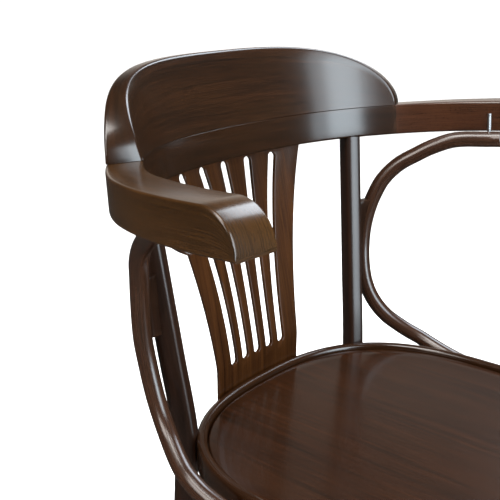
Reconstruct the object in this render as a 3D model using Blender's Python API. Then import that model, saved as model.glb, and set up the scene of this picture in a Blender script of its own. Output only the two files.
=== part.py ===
import math
import bmesh
import bpy
from mathutils import Matrix, Vector
from mathutils.geometry import interpolate_bezier

# Bentwood armchair with a slatted back splat, in metres, standing on the floor at z = 0.
# +Z is up and the chair faces -Y. Left is -X and right is +X, as seen from the front.
# Pieces are built around the middle of the seat, with heights from the crown of the seat
# ring, until the last step moves every piece to its place over the floor.
# A plan share is a part of half the seat's width across and of half its depth backwards,
# so the back, the arms and the legs keep to a seat of another size.

GAP = 0.0003                 # clearance between pieces that rest on or in each other

# Seat
SEAT_HEIGHT = 0.460          # crown of the seat ring above the floor
SEAT_WIDTH = 0.390
SEAT_DEPTH = 0.3826
SEAT_SQUARENESS = 2.57       # 2 is an ellipse, larger is squarer
RING_WIDTH = 0.034
RING_HEIGHT = 0.030
BEAD_WIDTH = 0.0095          # rounded lip of the ring outside the panel
PANEL_THICKNESS = 0.008
PANEL_SINK = 0.0055          # top edge of the panel below the crown of the lip
PANEL_DISH = 0.0025          # hollow in the middle of the panel

# Back rail, arms and crest share one plane that rises towards the front
RAIL_TILT = math.atan(0.0717)
RAIL_PIVOT_SHARE = 0.971     # plan share of the line that the plane turns on
RAIL_UNDERSIDE = 0.2432      # underside of the rail at the pivot, above the seat ring
RAIL_HEIGHT = 0.034
RAIL_WIDTH = 0.030
RAIL_ROUND = 0.0025
INNER_EDGE = [               # inner edge of rail and arm, plan shares from middle to nose
    (0.0, 1.146), (0.231, 1.134), (0.4615, 1.095), (0.667, 1.027), (0.856, 0.919),
    (1.031, 0.770), (1.118, 0.672), (1.187, 0.575), (1.244, 0.4705), (1.290, 0.345),
    (1.328, 0.209), (1.356, 0.084), (1.377, -0.063), (1.392, -0.2405),
]
JOINT_KEY = 5                # index of the plan point where the arm meets the rail
ARM_WIDTH = 0.037
ARM_WIDENS_OVER = 0.62       # share of the arm over which it grows to its full width
ARM_NOSE_ROUND = 0.031       # height of the quarter round at the front of the arm
CREST_HEIGHT = 0.076
CREST_ROUND_ALONG = 3.2      # shape of the crest outline along the rail
CREST_ROUND_UP = 1.8         # shape of the crest outline upwards
CREST_LEAN = 0.26            # front face leans back by this much of its height
CREST_END_SKEW = 0.012       # outer side of the crest is longer than the inner side by this
CREST_ROUND = 0.0018
CREST_TIP = 0.0012           # height left at the very end of the crest

# Splat
SPLAT_THICKNESS = 0.004
SPLAT_BEHIND_SEAT = 0.0005   # front face behind the back of the seat ring
SPLAT_FOOT_WIDTH = 0.3487    # share of the seat's width
SPLAT_HEAD_WIDTH = 0.5856
SPLAT_FLARE = 2.02
SPLAT_FOOT = -0.026
SPLAT_TENON = 0.012          # depth of the splat in the underside of the rail
SPLAT_UPRIGHT = 0.020        # the foot stands upright to this height above the seat
SPLAT_BEND_RADIUS = 0.100
SPLAT_LEAN = 0.165
SPLAT_BACK_CURVE = 0.31      # how the lean grows with height, in 1/m
SPLAT_FOOT_BOW = 0.8         # hollow across the splat at its foot, in 1/m
SPLAT_HEAD_BOW = 1.5
SPLAT_BOW_RISE = 1.5
SLOT_WIDTH = 0.0100
SLOT_FOOT_PITCH = 0.0523     # share of the seat's width between two slots
SLOT_HEAD_PITCH = 0.0930
SLOT_FAN = 2.1
SLOT_FOOT_MARGIN = 0.0290    # middle of the round lower end above the seat ring
SLOT_HEAD_MARGIN = 0.0142    # middle of the round upper end below the rail

# Rear legs: each is one bent piece from the floor to the rail
REAR_LEG_AT_SEAT = (0.7565, 0.847)
REAR_LEG_AT_RAIL = (0.859, 0.994)
REAR_LEG_LOWER = [           # plan shares, and depth below the seat as a share of its height
    (0.892, 1.150, 1.0), (0.841, 1.030, 0.761), (0.795, 0.933, 0.511),
    (0.767, 0.870, 0.261), (0.7575, 0.847, 0.098),
]
REAR_LEG_FOOT_RADIUS = 0.0105
REAR_LEG_SEAT_RADIUS = 0.0119
REAR_LEG_TOP_RADIUS = 0.0116
REAR_LEG_SQUARENESS = 3.6     # of the section above the seat; below it the leg is round
REAR_LEG_NARROWING = 0.86    # width of that section over its depth
REAR_LEG_BLEND = 0.045        # depth below the seat's top where the leg is fully round
REAR_LEG_TURN = math.radians(29.0)   # its flat front faces square to the rail
REAR_LEG_SOCKET = 0.014      # depth of the leg in the underside of the rail

# Front legs
FRONT_LEG_ACROSS = 0.692     # plan share
FRONT_LEG_AT_FLOOR = (0.785, -0.8365)
FRONT_LEG_KNEE = 0.045       # upright stretch below the seat ring
FRONT_LEG_SHOULDER_RADIUS = 0.0155
FRONT_LEG_SWELL = 0.0008
FRONT_LEG_FOOT_RADIUS = 0.0110
FRONT_TENON_RADIUS = 0.0090
FRONT_TENON_LENGTH = 0.0125

# Side hoops
HOOP_RADIUS = 0.0090
HOOP_LINE = [                # plan shares, and height as a share of the rail's, from arm to seat
    (1.328, 0.220, None), (1.305, 0.293, None), (1.223, 0.4705, None),
    (1.164, 0.5855, 0.954), (1.1155, 0.674, 0.911), (1.069, 0.766, 0.859),
    (1.026, 0.842, 0.785), (0.992, 0.883, 0.703), (0.969, 0.910, 0.617),
    (0.954, 0.925, 0.522), (0.946, 0.925, 0.432), (0.9375, 0.911, 0.345),
    (0.936, 0.887, 0.267), (0.9405, 0.854, 0.2015), (0.9555, 0.797, 0.140),
    (0.977, 0.735, 0.0905), (1.004, 0.671, 0.0535), (1.031, 0.601, 0.0205),
    (1.049, 0.533, -0.002), (1.0565, 0.444, -0.029), (1.0545, 0.340, -0.0515),
    (1.0505, 0.235, -0.068), (1.048, 0.131, -0.078), (1.048, 0.021, -0.082),
]
HOOP_ARM_KEY = 1             # index of the point where the hoop is screwed to the arm
HOOP_SPACER_KEY = 9          # index of the point where the hoop is screwed to the rear leg
HOOP_SEAT_KEY = 22           # index of the point where the hoop is screwed to the seat ring
SPACER_LOW = 0.44            # ends of the spacer as shares of the rail's height
SPACER_HIGH = 0.687
SPACER_WIDTH = 0.010
SPACER_HOUSING = 0.003       # the spacer starts this far past the middle line of leg and hoop

# Stretcher hoop below the seat
STRETCHER_DROP = 0.489       # share of the seat's height
STRETCHER_RADIUS = 0.0085
STRETCHER_HOUSING = 0.0012   # depth that the hoop is let into each leg

# Fasteners and feet
BOLT_HEAD_RADIUS = 0.0070
BOLT_HEAD_HEIGHT = 0.0035
BOLT_RADIUS = 0.0030
BOLT_DEPTH = 0.021           # middle of the bolt below the crown of the ring
BOLT_SINK = 0.0015
SCREW_HEAD_RADIUS = 0.0040
SCREW_HEAD_HEIGHT = 0.0022
SCREW_RADIUS = 0.0021
SCREW_SINK = 0.0006
ARM_SCREW_LENGTH = 0.038
LEG_SCREW_LENGTH = 0.036
SEAT_SCREW_LENGTH = 0.034
SPLAT_SCREW_LENGTH = 0.028
SPLAT_SCREW_SHARE = 0.57     # share of half the splat's foot width
SPLAT_SCREW_DEPTH = 0.0205
STRETCHER_SCREW_GRIP = 0.010
DOWEL_RADIUS = 0.0040
DOWEL_LENGTH = 0.030
CREST_DOWEL_SHARE = 0.62
GLIDE_RADIUS = 0.0090
GLIDE_THICKNESS = 0.0035
GLIDE_ROUND = 0.0015
GLIDE_NAIL_RADIUS = 0.0016
GLIDE_NAIL_LENGTH = 0.012

# Fineness of the faceted surfaces
SEAT_STEPS = 64
STRETCHER_STEPS = 56
PLAN_STEPS = 3
CREST_STEPS = 17
SPLAT_ROWS = 14
REAR_LEG_STEPS = 16

SIDES = (("left", -1.0), ("right", 1.0))

for old in list(bpy.data.objects):
    bpy.data.objects.remove(old)

chair = bpy.data.collections.new("bentwood_armchair")
cutters = bpy.data.collections.new("cutters")
bpy.context.scene.collection.children.link(chair)
bpy.context.scene.collection.children.link(cutters)


def finish_material(name, color, roughness, metallic=0.0):
    material = bpy.data.materials.new(name)
    material.use_nodes = True
    shader = material.node_tree.nodes["Principled BSDF"]
    shader.inputs["Base Color"].default_value = (*color, 1.0)
    shader.inputs["Roughness"].default_value = roughness
    shader.inputs["Metallic"].default_value = metallic
    return material


WALNUT_STAIN = (0.075, 0.036, 0.022)
WARM_STAIN = (0.105, 0.045, 0.024)
SEAT_STAIN = (0.055, 0.028, 0.018)
BARE_BEECH = (0.62, 0.43, 0.26)
ZINC = (0.60, 0.61, 0.62)
GLIDE_BROWN = (0.035, 0.022, 0.016)


def add_piece(name, mesh, color, roughness=0.35, metallic=0.0):
    piece = bpy.data.objects.new(name, mesh)
    chair.objects.link(piece)
    mesh.materials.clear()
    mesh.materials.append(finish_material(name + "_finish", color, roughness, metallic))
    return piece


def add_cutter(name, mesh):
    cutter = bpy.data.objects.new(name, mesh)
    cutters.objects.link(cutter)
    cutter.hide_render = True
    cutter.display_type = "WIRE"
    return cutter


def cut(piece, cutter):
    difference = piece.modifiers.new("cut_" + cutter.name, "BOOLEAN")
    difference.operation = "DIFFERENCE"
    difference.solver = "EXACT"
    difference.object = cutter


def smooth_faces(mesh, angle_limit=math.radians(40)):
    mesh.polygons.foreach_set("use_smooth", [True] * len(mesh.polygons))
    shape = bmesh.new()
    shape.from_mesh(mesh)
    for edge in shape.edges:
        edge.smooth = edge.calc_face_angle(0.0) < angle_limit
    shape.to_mesh(mesh)
    shape.free()


# Mesh of a curve with its loose caps welded on
def curve_mesh(name, curve, matrix=None):
    path = bpy.data.objects.new(name, curve)
    bpy.context.scene.collection.objects.link(path)
    depsgraph = bpy.context.evaluated_depsgraph_get()
    mesh = bpy.data.meshes.new_from_object(path.evaluated_get(depsgraph))
    bpy.data.objects.remove(path)
    mesh.name = name
    shape = bmesh.new()
    shape.from_mesh(mesh)
    bmesh.ops.remove_doubles(shape, verts=shape.verts, dist=0.000001)
    bmesh.ops.recalc_face_normals(shape, faces=shape.faces)
    if matrix is not None:
        shape.transform(matrix)
    shape.to_mesh(mesh)
    shape.free()
    smooth_faces(mesh)
    return mesh


def tube_mesh(name, line, radii, grow=0.0, fineness=3, ring=False):
    curve = bpy.data.curves.new(name, "CURVE")
    curve.dimensions = "3D"
    curve.bevel_depth = 1.0
    curve.bevel_resolution = fineness
    curve.use_fill_caps = True
    spline = curve.splines.new("POLY")
    spline.points.add(len(line) - 1)
    for point, place, radius in zip(spline.points, line, radii):
        point.co = (*place, 1.0)
        point.radius = radius + grow
    spline.use_cyclic_u = ring
    return curve_mesh(name, curve)


def prism_mesh(name, outline, half_thickness, matrix):
    curve = bpy.data.curves.new(name, "CURVE")
    curve.dimensions = "2D"
    curve.fill_mode = "BOTH"
    curve.extrude = half_thickness
    spline = curve.splines.new("POLY")
    spline.points.add(len(outline) - 1)
    for point, place in zip(spline.points, outline):
        point.co = (*place, 0.0, 1.0)
    spline.use_cyclic_u = True
    return curve_mesh(name, curve, matrix)


# Skin over loops that have one number of points, capped unless it closes on itself
def loft_mesh(name, loops, closed=False, matrix=None):
    shape = bmesh.new()
    rows = [[shape.verts.new(place) for place in loop] for loop in loops]
    pairs = list(zip(rows, rows[1:]))
    if closed:
        pairs.append((rows[-1], rows[0]))
    else:
        shape.faces.new(rows[0])
        shape.faces.new(rows[-1])
    count = len(rows[0])
    for low, high in pairs:
        for i in range(count):
            j = (i + 1) % count
            shape.faces.new((low[i], low[j], high[j], high[i]))
    bmesh.ops.recalc_face_normals(shape, faces=shape.faces)
    if matrix is not None:
        shape.transform(matrix)
    mesh = bpy.data.meshes.new(name)
    shape.to_mesh(mesh)
    shape.free()
    smooth_faces(mesh)
    return mesh


# One turned solid per frame; a frame is a start point and the direction of its axis
def turned_mesh(name, profile, frames, steps=12):
    shape = bmesh.new()
    for start, direction in frames:
        turn = Vector(direction).to_track_quat("Z", "Y").to_matrix().to_4x4()
        turn = Matrix.Translation(start) @ turn
        verts = [shape.verts.new((radius, 0.0, along)) for radius, along in profile]
        edges = [shape.edges.new(pair) for pair in zip(verts, verts[1:])]
        turned = bmesh.ops.spin(
            shape, geom=verts + edges, cent=(0.0, 0.0, 0.0), axis=(0.0, 0.0, 1.0),
            angle=2.0 * math.pi, steps=steps, use_merge=True)
        fresh = set(verts)
        stack = list(verts)
        while stack:
            for edge in stack.pop().link_edges:
                for vert in edge.verts:
                    if vert not in fresh:
                        fresh.add(vert)
                        stack.append(vert)
        bmesh.ops.transform(shape, matrix=turn, verts=list(fresh))
    bmesh.ops.remove_doubles(shape, verts=shape.verts, dist=0.000001)
    bmesh.ops.recalc_face_normals(shape, faces=shape.faces)
    mesh = bpy.data.meshes.new(name)
    shape.to_mesh(mesh)
    shape.free()
    smooth_faces(mesh)
    return mesh


def headed_profile(head_radius, head_height, shank_radius, length):
    return [(0.0, 0.0), (head_radius * 0.6, 0.0), (head_radius, head_height * 0.45),
            (head_radius, head_height), (shank_radius, head_height),
            (shank_radius, length), (0.0, length)]


def bore_profile(head_radius, head_height, shank_radius, length, reach=0.03):
    return [(0.0, -reach), (head_radius + GAP, -reach), (head_radius + GAP, head_height + GAP),
            (shank_radius + GAP, head_height + GAP), (shank_radius + GAP, length + GAP),
            (0.0, length + GAP)]


def plain_profile(radius, length, grow=0.0):
    return [(0.0, -grow), (radius + grow, -grow), (radius + grow, length + grow),
            (0.0, length + grow)]


# Points on a smooth curve through the keys, steps to each stretch between two keys
def smooth_line(keys, steps):
    keys = [Vector(key) for key in keys]
    line = []
    for i in range(len(keys) - 1):
        before = keys[max(i - 1, 0)]
        after = keys[min(i + 2, len(keys) - 1)]
        start, end = keys[i], keys[i + 1]
        reach = (end - start).length / 3.0
        leave = start + (end - before).normalized() * reach
        arrive = end - (after - start).normalized() * reach
        stretch = interpolate_bezier(start.to_3d(), leave.to_3d(), arrive.to_3d(), end.to_3d(),
                                     steps + 1)
        line.extend(stretch[:-1])
    line.append(keys[-1].to_3d())
    return line


# Point on a line of points at a distance from its start
def along(line, distance):
    for start, end in zip(line, line[1:]):
        length = (end - start).length
        if distance <= length or end is line[-1]:
            return start + (end - start) * (distance / length)
        distance -= length


def line_length(line):
    return sum((b - a).length for a, b in zip(line, line[1:]))


# Plan line moved sideways, to the left of its direction
def offset_line(line, distance):
    moved = []
    for i, place in enumerate(line):
        step = line[min(i + 1, len(line) - 1)] - line[max(i - 1, 0)]
        sideways = Vector((-step.y, step.x, 0.0)).normalized()
        moved.append(place + sideways * distance)
    return moved


def in_plan(across_share, back_share, z=0.0):
    return Vector((0.5 * SEAT_WIDTH * across_share, 0.5 * SEAT_DEPTH * back_share, z))


def seat_edge(angle, inset=0.0):
    power = 2.0 / SEAT_SQUARENESS
    across = math.copysign(abs(math.cos(angle)) ** power, math.cos(angle))
    back = math.copysign(abs(math.sin(angle)) ** power, math.sin(angle))
    return Vector(((SEAT_WIDTH / 2 - inset) * across, (SEAT_DEPTH / 2 - inset) * back, 0.0))


def seat_loop(inset, height):
    loop = []
    for i in range(SEAT_STEPS):
        place = seat_edge(2.0 * math.pi * i / SEAT_STEPS, inset)
        loop.append(Vector((place.x, place.y, height)))
    return loop


def flipped(place, sign):
    return Vector((place[0] * sign, place[1], place[2]))


# Seat ring and panel

panel_top = -PANEL_SINK
panel_under = panel_top - PANEL_THICKNESS
rebate = panel_under - GAP
bead = BEAD_WIDTH
ring_profile = [
    (0.0, -0.95 * bead), (0.09 * bead, -0.45 * bead), (0.30 * bead, -0.13 * bead),
    (0.57 * bead, 0.0), (0.84 * bead, -0.12 * bead), (bead, -0.42 * bead), (bead, rebate),
    (RING_WIDTH, rebate), (RING_WIDTH, -0.88 * RING_HEIGHT), (0.91 * RING_WIDTH, -RING_HEIGHT),
    (0.10 * RING_WIDTH, -RING_HEIGHT), (0.0, -0.88 * RING_HEIGHT),
]
ring_loops = [seat_loop(inset, height) for inset, height in ring_profile]
seat_ring = add_piece("seat_ring", loft_mesh("seat_ring", ring_loops, closed=True), SEAT_STAIN)

panel_edge = bead + GAP
panel_loops = [
    seat_loop(0.38 * SEAT_WIDTH, panel_top - PANEL_DISH),
    seat_loop(0.20 * SEAT_WIDTH, panel_top - 0.8 * PANEL_DISH),
    seat_loop(0.075 * SEAT_WIDTH, panel_top - 0.1 * PANEL_DISH),
    seat_loop(panel_edge + 0.001, panel_top), seat_loop(panel_edge, panel_top - 0.001),
    seat_loop(panel_edge, panel_under),
]
seat_panel = add_piece("seat_panel", loft_mesh("seat_panel", panel_loops), SEAT_STAIN, 0.28)

ring_space = add_cutter("ring_space", loft_mesh(
    "ring_space", [seat_loop(-GAP, -2.5 * RING_HEIGHT), seat_loop(-GAP, RING_HEIGHT)]))


# Back rail, arms and crest, in the tilted plane: z = 0 is the underside of the rail

pivot = in_plan(0.0, RAIL_PIVOT_SHARE)
to_rail = Vector((0.0, 0.0, RAIL_UNDERSIDE))
plane = Matrix.Translation(pivot + to_rail) @ Matrix.Rotation(
    -RAIL_TILT, 4, "X") @ Matrix.Translation(-pivot)
inner_keys = [in_plan(*share) for share in INNER_EDGE]
inner_half = smooth_line([flipped(inner_keys[1], -1.0)] + inner_keys, PLAN_STEPS)
inner_half = inner_half[PLAN_STEPS:]
rail_half = inner_half[:JOINT_KEY * PLAN_STEPS + 1]
arm_inner = inner_half[JOINT_KEY * PLAN_STEPS:]
rail_inner = [Vector((-p.x, p.y, 0.0)) for p in reversed(rail_half[1:])] + rail_half


# Rounded four-sided section that stands on the line from inner to outer
def bar_section(inner, outer, low, high, round_edge):
    span = outer - inner
    across = span.normalized()
    width = span.length
    edge = min(round_edge, 0.45 * (high - low))
    soft = 0.29 * edge
    corners = [
        (edge, low), (width - edge, low), (width - soft, low + soft), (width, low + edge),
        (width, high - edge), (width - soft, high - soft), (width - edge, high),
        (edge, high), (soft, high - soft), (0.0, high - edge), (0.0, low + edge),
        (soft, low + soft),
    ]
    return [inner + across * x + Vector((0.0, 0.0, z)) for x, z in corners]


rail_outer = offset_line(rail_inner, RAIL_WIDTH)
rail_loops = [bar_section(a, b, 0.0, RAIL_HEIGHT, RAIL_ROUND)
              for a, b in zip(rail_inner, rail_outer)]
back_rail = add_piece("back_rail", loft_mesh("back_rail", rail_loops, matrix=plane),
                      WALNUT_STAIN)


# Fall of the arm's top in the quarter round at its nose
def nose_drop(distance_to_nose):
    if distance_to_nose >= ARM_NOSE_ROUND:
        return 0.0
    reach = (ARM_NOSE_ROUND - distance_to_nose) / ARM_NOSE_ROUND
    return ARM_NOSE_ROUND * (1.0 - math.sqrt(max(0.0, 1.0 - reach * reach)))


arm_length = line_length(arm_inner)
whole_inner_line = rail_half[-2:-1] + arm_inner
arm_normals = offset_line(whole_inner_line, 1.0)
arm_normals = [b - a for a, b in zip(whole_inner_line, arm_normals)][1:]
arm_distances = [0.0]
for a, b in zip(arm_inner, arm_inner[1:]):
    arm_distances.append(arm_distances[-1] + (b - a).length)
nose_stations = [arm_length - ARM_NOSE_ROUND * (1.0 - math.sin(math.radians(turn)))
                 for turn in range(0, 91, 15)]
stations = [d for d in arm_distances if d < nose_stations[0] - 0.002] + nose_stations
rail_end_normal = (rail_outer[-1] - rail_inner[-1]).normalized()


def arm_normal(distance):
    for i in range(len(arm_distances) - 1):
        if distance <= arm_distances[i + 1] or i == len(arm_distances) - 2:
            share = (distance - arm_distances[i]) / (arm_distances[i + 1] - arm_distances[i])
            share = min(1.0, share)
            return arm_normals[i].lerp(arm_normals[i + 1], share).normalized()


def arm_width(distance):
    share = min(1.0, distance / (ARM_WIDENS_OVER * arm_length))
    ease = share * share * (3.0 - 2.0 * share)
    return RAIL_WIDTH + (ARM_WIDTH - RAIL_WIDTH) * ease


joint_normal = rail_end_normal
joint_direction = Vector((joint_normal.y, -joint_normal.x, 0.0))
arm_right_loops = []
for distance in stations:
    inner = along(arm_inner, distance)
    normal = joint_normal if distance == 0.0 else arm_normal(distance)
    outer = inner + normal * arm_width(distance)
    if distance == 0.0:
        inner = inner + joint_direction * GAP
        outer = outer + joint_direction * GAP
    high = RAIL_HEIGHT - nose_drop(arm_length - distance)
    arm_right_loops.append(bar_section(inner, outer, 0.0, high, RAIL_ROUND))

arms = {}
for side, sign in SIDES:
    loops = [[Vector((p.x * sign, p.y, p.z)) for p in loop] for loop in arm_right_loops]
    name = "arm_" + side
    arms[side] = add_piece(name, loft_mesh(name, loops, matrix=plane), WALNUT_STAIN)

crest_half_length = line_length(rail_half)
crest_inner = [Vector((-p.x, p.y, 0.0)) for p in reversed(inner_half[1:])] + inner_half
crest_outer = offset_line(crest_inner, RAIL_WIDTH)
inner_middle = line_length(crest_inner) / 2
outer_middle = line_length(crest_outer) / 2
outer_half_length = line_length(offset_line(rail_half, RAIL_WIDTH)) + CREST_END_SKEW
crest_loops = []
for i in range(-CREST_STEPS, CREST_STEPS + 1):
    share = math.sin(0.5 * math.pi * i / CREST_STEPS)
    fill = 1.0 - abs(share) ** CREST_ROUND_ALONG
    height = max(CREST_TIP, CREST_HEIGHT * fill ** (1.0 / CREST_ROUND_UP))
    inner = along(crest_inner, inner_middle + share * crest_half_length)
    outer = along(crest_outer, outer_middle + share * outer_half_length)
    across = (outer - inner).normalized()
    width = (outer - inner).length
    lean = CREST_LEAN * height
    edge = min(CREST_ROUND, 0.4 * height)
    base = RAIL_HEIGHT + GAP
    corners = [(0.0, 0.0), (width, 0.0), (width, height - edge), (width - edge, height),
               (lean + edge, height), (lean, height - edge), (0.5 * lean, 0.5 * height)]
    crest_loops.append([inner + across * x + Vector((0.0, 0.0, base + z)) for x, z in corners])
crest_rail = add_piece("crest_rail", loft_mesh("crest_rail", crest_loops, matrix=plane),
                       WALNUT_STAIN)


# Splat

# Depth of the splat's front face at a place across and a height
def splat_front(x, z):
    rise = max(0.0, z - SPLAT_UPRIGHT)
    bend_end = SPLAT_BEND_RADIUS * math.sin(math.atan(SPLAT_LEAN))
    bent = min(rise, bend_end)
    middle = (0.5 * SEAT_DEPTH + SPLAT_BEHIND_SEAT + SPLAT_BEND_RADIUS
              - math.sqrt(SPLAT_BEND_RADIUS ** 2 - bent * bent)
              + SPLAT_LEAN * (rise - bent) + SPLAT_BACK_CURVE * rise * rise)
    share = min(1.0, max(0.0, z / RAIL_UNDERSIDE)) ** SPLAT_BOW_RISE
    hollow = SPLAT_FOOT_BOW + (SPLAT_HEAD_BOW - SPLAT_FOOT_BOW) * share
    return middle - hollow * x * x


def splat_half_width(z):
    share = max(0.0, z) / RAIL_UNDERSIDE
    width = SPLAT_FOOT_WIDTH + (SPLAT_HEAD_WIDTH - SPLAT_FOOT_WIDTH) * share ** SPLAT_FLARE
    return 0.5 * width * SEAT_WIDTH


def splat_loop(z, grow=0.0, columns=10):
    half = splat_half_width(z) + grow
    across = [half * (2.0 * i / columns - 1.0) for i in range(columns + 1)]
    front = [Vector((x, splat_front(x, z) - grow, z)) for x in across]
    back = [Vector((x, splat_front(x, z) + SPLAT_THICKNESS + grow, z)) for x in reversed(across)]
    return front + back


splat_middle = splat_front(0.0, RAIL_UNDERSIDE) + 0.5 * SPLAT_THICKNESS
splat_top = (plane @ Vector((0.0, splat_middle, SPLAT_TENON))).z
splat_heights = [SPLAT_FOOT + (splat_top - SPLAT_FOOT) * i / SPLAT_ROWS
                 for i in range(SPLAT_ROWS + 1)]
splat = add_piece("splat", loft_mesh("splat", [splat_loop(z) for z in splat_heights]),
                  WARM_STAIN)
cut(splat, ring_space)

slot_reach = splat_front(0.0, RAIL_UNDERSIDE) - 0.5 * SEAT_DEPTH
slot_low = SLOT_FOOT_MARGIN
slot_high = RAIL_UNDERSIDE - SLOT_HEAD_MARGIN
to_upright = Matrix.Translation((0.0, splat_front(0.0, 0.5 * slot_high), 0.0)) @ Matrix.Rotation(
    0.5 * math.pi, 4, "X")
for number in range(-2, 3):
    middle_line = []
    for i in range(11):
        share = i / 10
        pitch = SLOT_FOOT_PITCH + (SLOT_HEAD_PITCH - SLOT_FOOT_PITCH) * share ** SLOT_FAN
        x = number * pitch * SEAT_WIDTH
        middle_line.append(Vector((x, slot_low + (slot_high - slot_low) * share, 0.0)))
    left_line = offset_line(middle_line, 0.5 * SLOT_WIDTH)
    right_line = offset_line(middle_line, -0.5 * SLOT_WIDTH)
    outline = []
    for end, line, sign in ((middle_line[-1], left_line, 1.0), (middle_line[0], right_line, -1.0)):
        outline.extend(line if sign > 0 else list(reversed(line)))
        start = outline[-1] - end
        for step in range(1, 5):
            turn = Matrix.Rotation(-math.pi * step / 5, 3, "Z")
            outline.append(end + turn @ start)
    name = "slot_space_%d" % (number + 3)
    slot = add_cutter(name, prism_mesh(name, [(p.x, p.y) for p in outline], slot_reach, to_upright))
    cut(splat, slot)

splat_space = add_cutter("splat_space", loft_mesh(
    "splat_space", [splat_loop(z, GAP) for z in splat_heights[-4:-1] + [splat_top + GAP]]))
cut(back_rail, splat_space)


# Rear legs

leg_at_seat = in_plan(*REAR_LEG_AT_SEAT)
leg_up = in_plan(*REAR_LEG_AT_RAIL, RAIL_UNDERSIDE) - leg_at_seat
leg_top = leg_at_seat + leg_up * (1.0 + REAR_LEG_SOCKET / leg_up.z)
rear_keys = [in_plan(x, y, -drop * SEAT_HEIGHT) for x, y, drop in REAR_LEG_LOWER]
rear_keys += [leg_at_seat, leg_at_seat + 0.33 * leg_up, leg_at_seat + 0.67 * leg_up, leg_top]
rear_line = smooth_line(rear_keys, 3)


def rear_radius(z):
    if z < 0.0:
        share = min(1.0, -z / SEAT_HEIGHT)
        return REAR_LEG_SEAT_RADIUS + (REAR_LEG_FOOT_RADIUS - REAR_LEG_SEAT_RADIUS) * share
    share = min(1.0, z / RAIL_UNDERSIDE)
    return REAR_LEG_SEAT_RADIUS + (REAR_LEG_TOP_RADIUS - REAR_LEG_SEAT_RADIUS) * share


def line_at_height(line, height):
    for a, b in zip(line, line[1:]):
        low, high = sorted((a.z, b.z))
        if low <= height <= high:
            return a.lerp(b, (height - a.z) / (b.z - a.z))


# Loop round a rear leg at one height: round below the seat, a soft rectangle above it
def rear_section(place, sign, grow=0.0):
    share = min(1.0, max(0.0, 1.0 + place.z / REAR_LEG_BLEND))
    power = 2.0 / (2.0 + (REAR_LEG_SQUARENESS - 2.0) * share)
    deep = rear_radius(place.z) + grow
    wide = rear_radius(place.z) * (1.0 + (REAR_LEG_NARROWING - 1.0) * share) + grow
    turn = Matrix.Rotation(-sign * REAR_LEG_TURN, 3, "Z")
    loop = []
    for i in range(REAR_LEG_STEPS):
        angle = 2.0 * math.pi * i / REAR_LEG_STEPS
        x = math.copysign(abs(math.cos(angle)) ** power, math.cos(angle)) * wide
        y = math.copysign(abs(math.sin(angle)) ** power, math.sin(angle)) * deep
        loop.append(place + turn @ Vector((x, y, 0.0)))
    return loop


floor_corners = ((-SEAT_WIDTH, -SEAT_DEPTH), (SEAT_WIDTH, -SEAT_DEPTH),
                 (SEAT_WIDTH, SEAT_DEPTH), (-SEAT_WIDTH, SEAT_DEPTH))
floor_space = add_cutter("floor_space", loft_mesh("floor_space", [
    [Vector((x, y, z)) for x, y in floor_corners]
    for z in (-1.1 * SEAT_HEIGHT, -SEAT_HEIGHT + GLIDE_THICKNESS + GAP)]))
rear_legs = {}
leg_spaces = {}
for side, sign in SIDES:
    name = "rear_leg_" + side
    line = [flipped(p, sign) for p in rear_line]
    rear_legs[side] = add_piece(name, loft_mesh(
        name, [rear_section(p, sign) for p in line]), WALNUT_STAIN)
    cut(rear_legs[side], ring_space)
    cut(rear_legs[side], floor_space)
    longer_line = line + [line[-1] + (line[-1] - line[-2]).normalized() * GAP]
    leg_spaces[side] = add_cutter("leg_space_" + side, loft_mesh(
        "leg_space_" + side, [rear_section(p, sign, GAP) for p in longer_line]))
    cut(back_rail, leg_spaces[side])


# Front legs

leg_inset = 0.5 * RING_WIDTH
half_width = SEAT_WIDTH / 2 - leg_inset
half_depth = SEAT_DEPTH / 2 - leg_inset
front_leg_x = 0.5 * SEAT_WIDTH * FRONT_LEG_ACROSS
front_leg_y = -half_depth * (1.0 - (front_leg_x / half_width) ** SEAT_SQUARENESS) ** (
    1.0 / SEAT_SQUARENESS)
front_top = Vector((front_leg_x, front_leg_y, -RING_HEIGHT - GAP))
front_knee = front_top - Vector((0.0, 0.0, FRONT_LEG_KNEE))
front_foot = in_plan(*FRONT_LEG_AT_FLOOR, -SEAT_HEIGHT)
front_body = smooth_line([front_top, front_knee, front_knee.lerp(front_foot, 0.5),
                          front_foot], 3)
front_line = [front_top + Vector((0.0, 0.0, FRONT_TENON_LENGTH)),
              front_top + Vector((0.0, 0.0, 0.0001))] + front_body


def front_radius(z):
    share = (z - front_top.z) / (front_foot.z - front_top.z)
    swell = FRONT_LEG_SWELL * math.sin(math.pi * min(1.0, 2.2 * share))
    return FRONT_LEG_SHOULDER_RADIUS + swell + (
        FRONT_LEG_FOOT_RADIUS - FRONT_LEG_SHOULDER_RADIUS) * share


front_radii = [FRONT_TENON_RADIUS] * 2 + [front_radius(p.z) for p in front_body]
front_legs = {}
for side, sign in SIDES:
    name = "front_leg_" + side
    line = [flipped(p, sign) for p in front_line]
    front_legs[side] = add_piece(name, tube_mesh(name, line, front_radii), WALNUT_STAIN)
    cut(front_legs[side], floor_space)
    tenon_start = flipped(front_top - Vector((0.0, 0.0, FRONT_TENON_LENGTH)), sign)
    mortise = add_cutter("mortise_" + side, turned_mesh("mortise_" + side, plain_profile(
        FRONT_TENON_RADIUS, 2.0 * FRONT_TENON_LENGTH, GAP), [(tenon_start, (0, 0, 1))], 16))
    cut(seat_ring, mortise)


# Side hoops and their spacers

# Middle line of a rod that lies against the underside of the arm
def under_arm(place):
    slope = math.tan(RAIL_TILT)
    drop = (HOOP_RADIUS + GAP) / math.cos(RAIL_TILT)
    return Vector((place.x, place.y, RAIL_UNDERSIDE - slope * (place.y - pivot.y) - drop))


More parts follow.
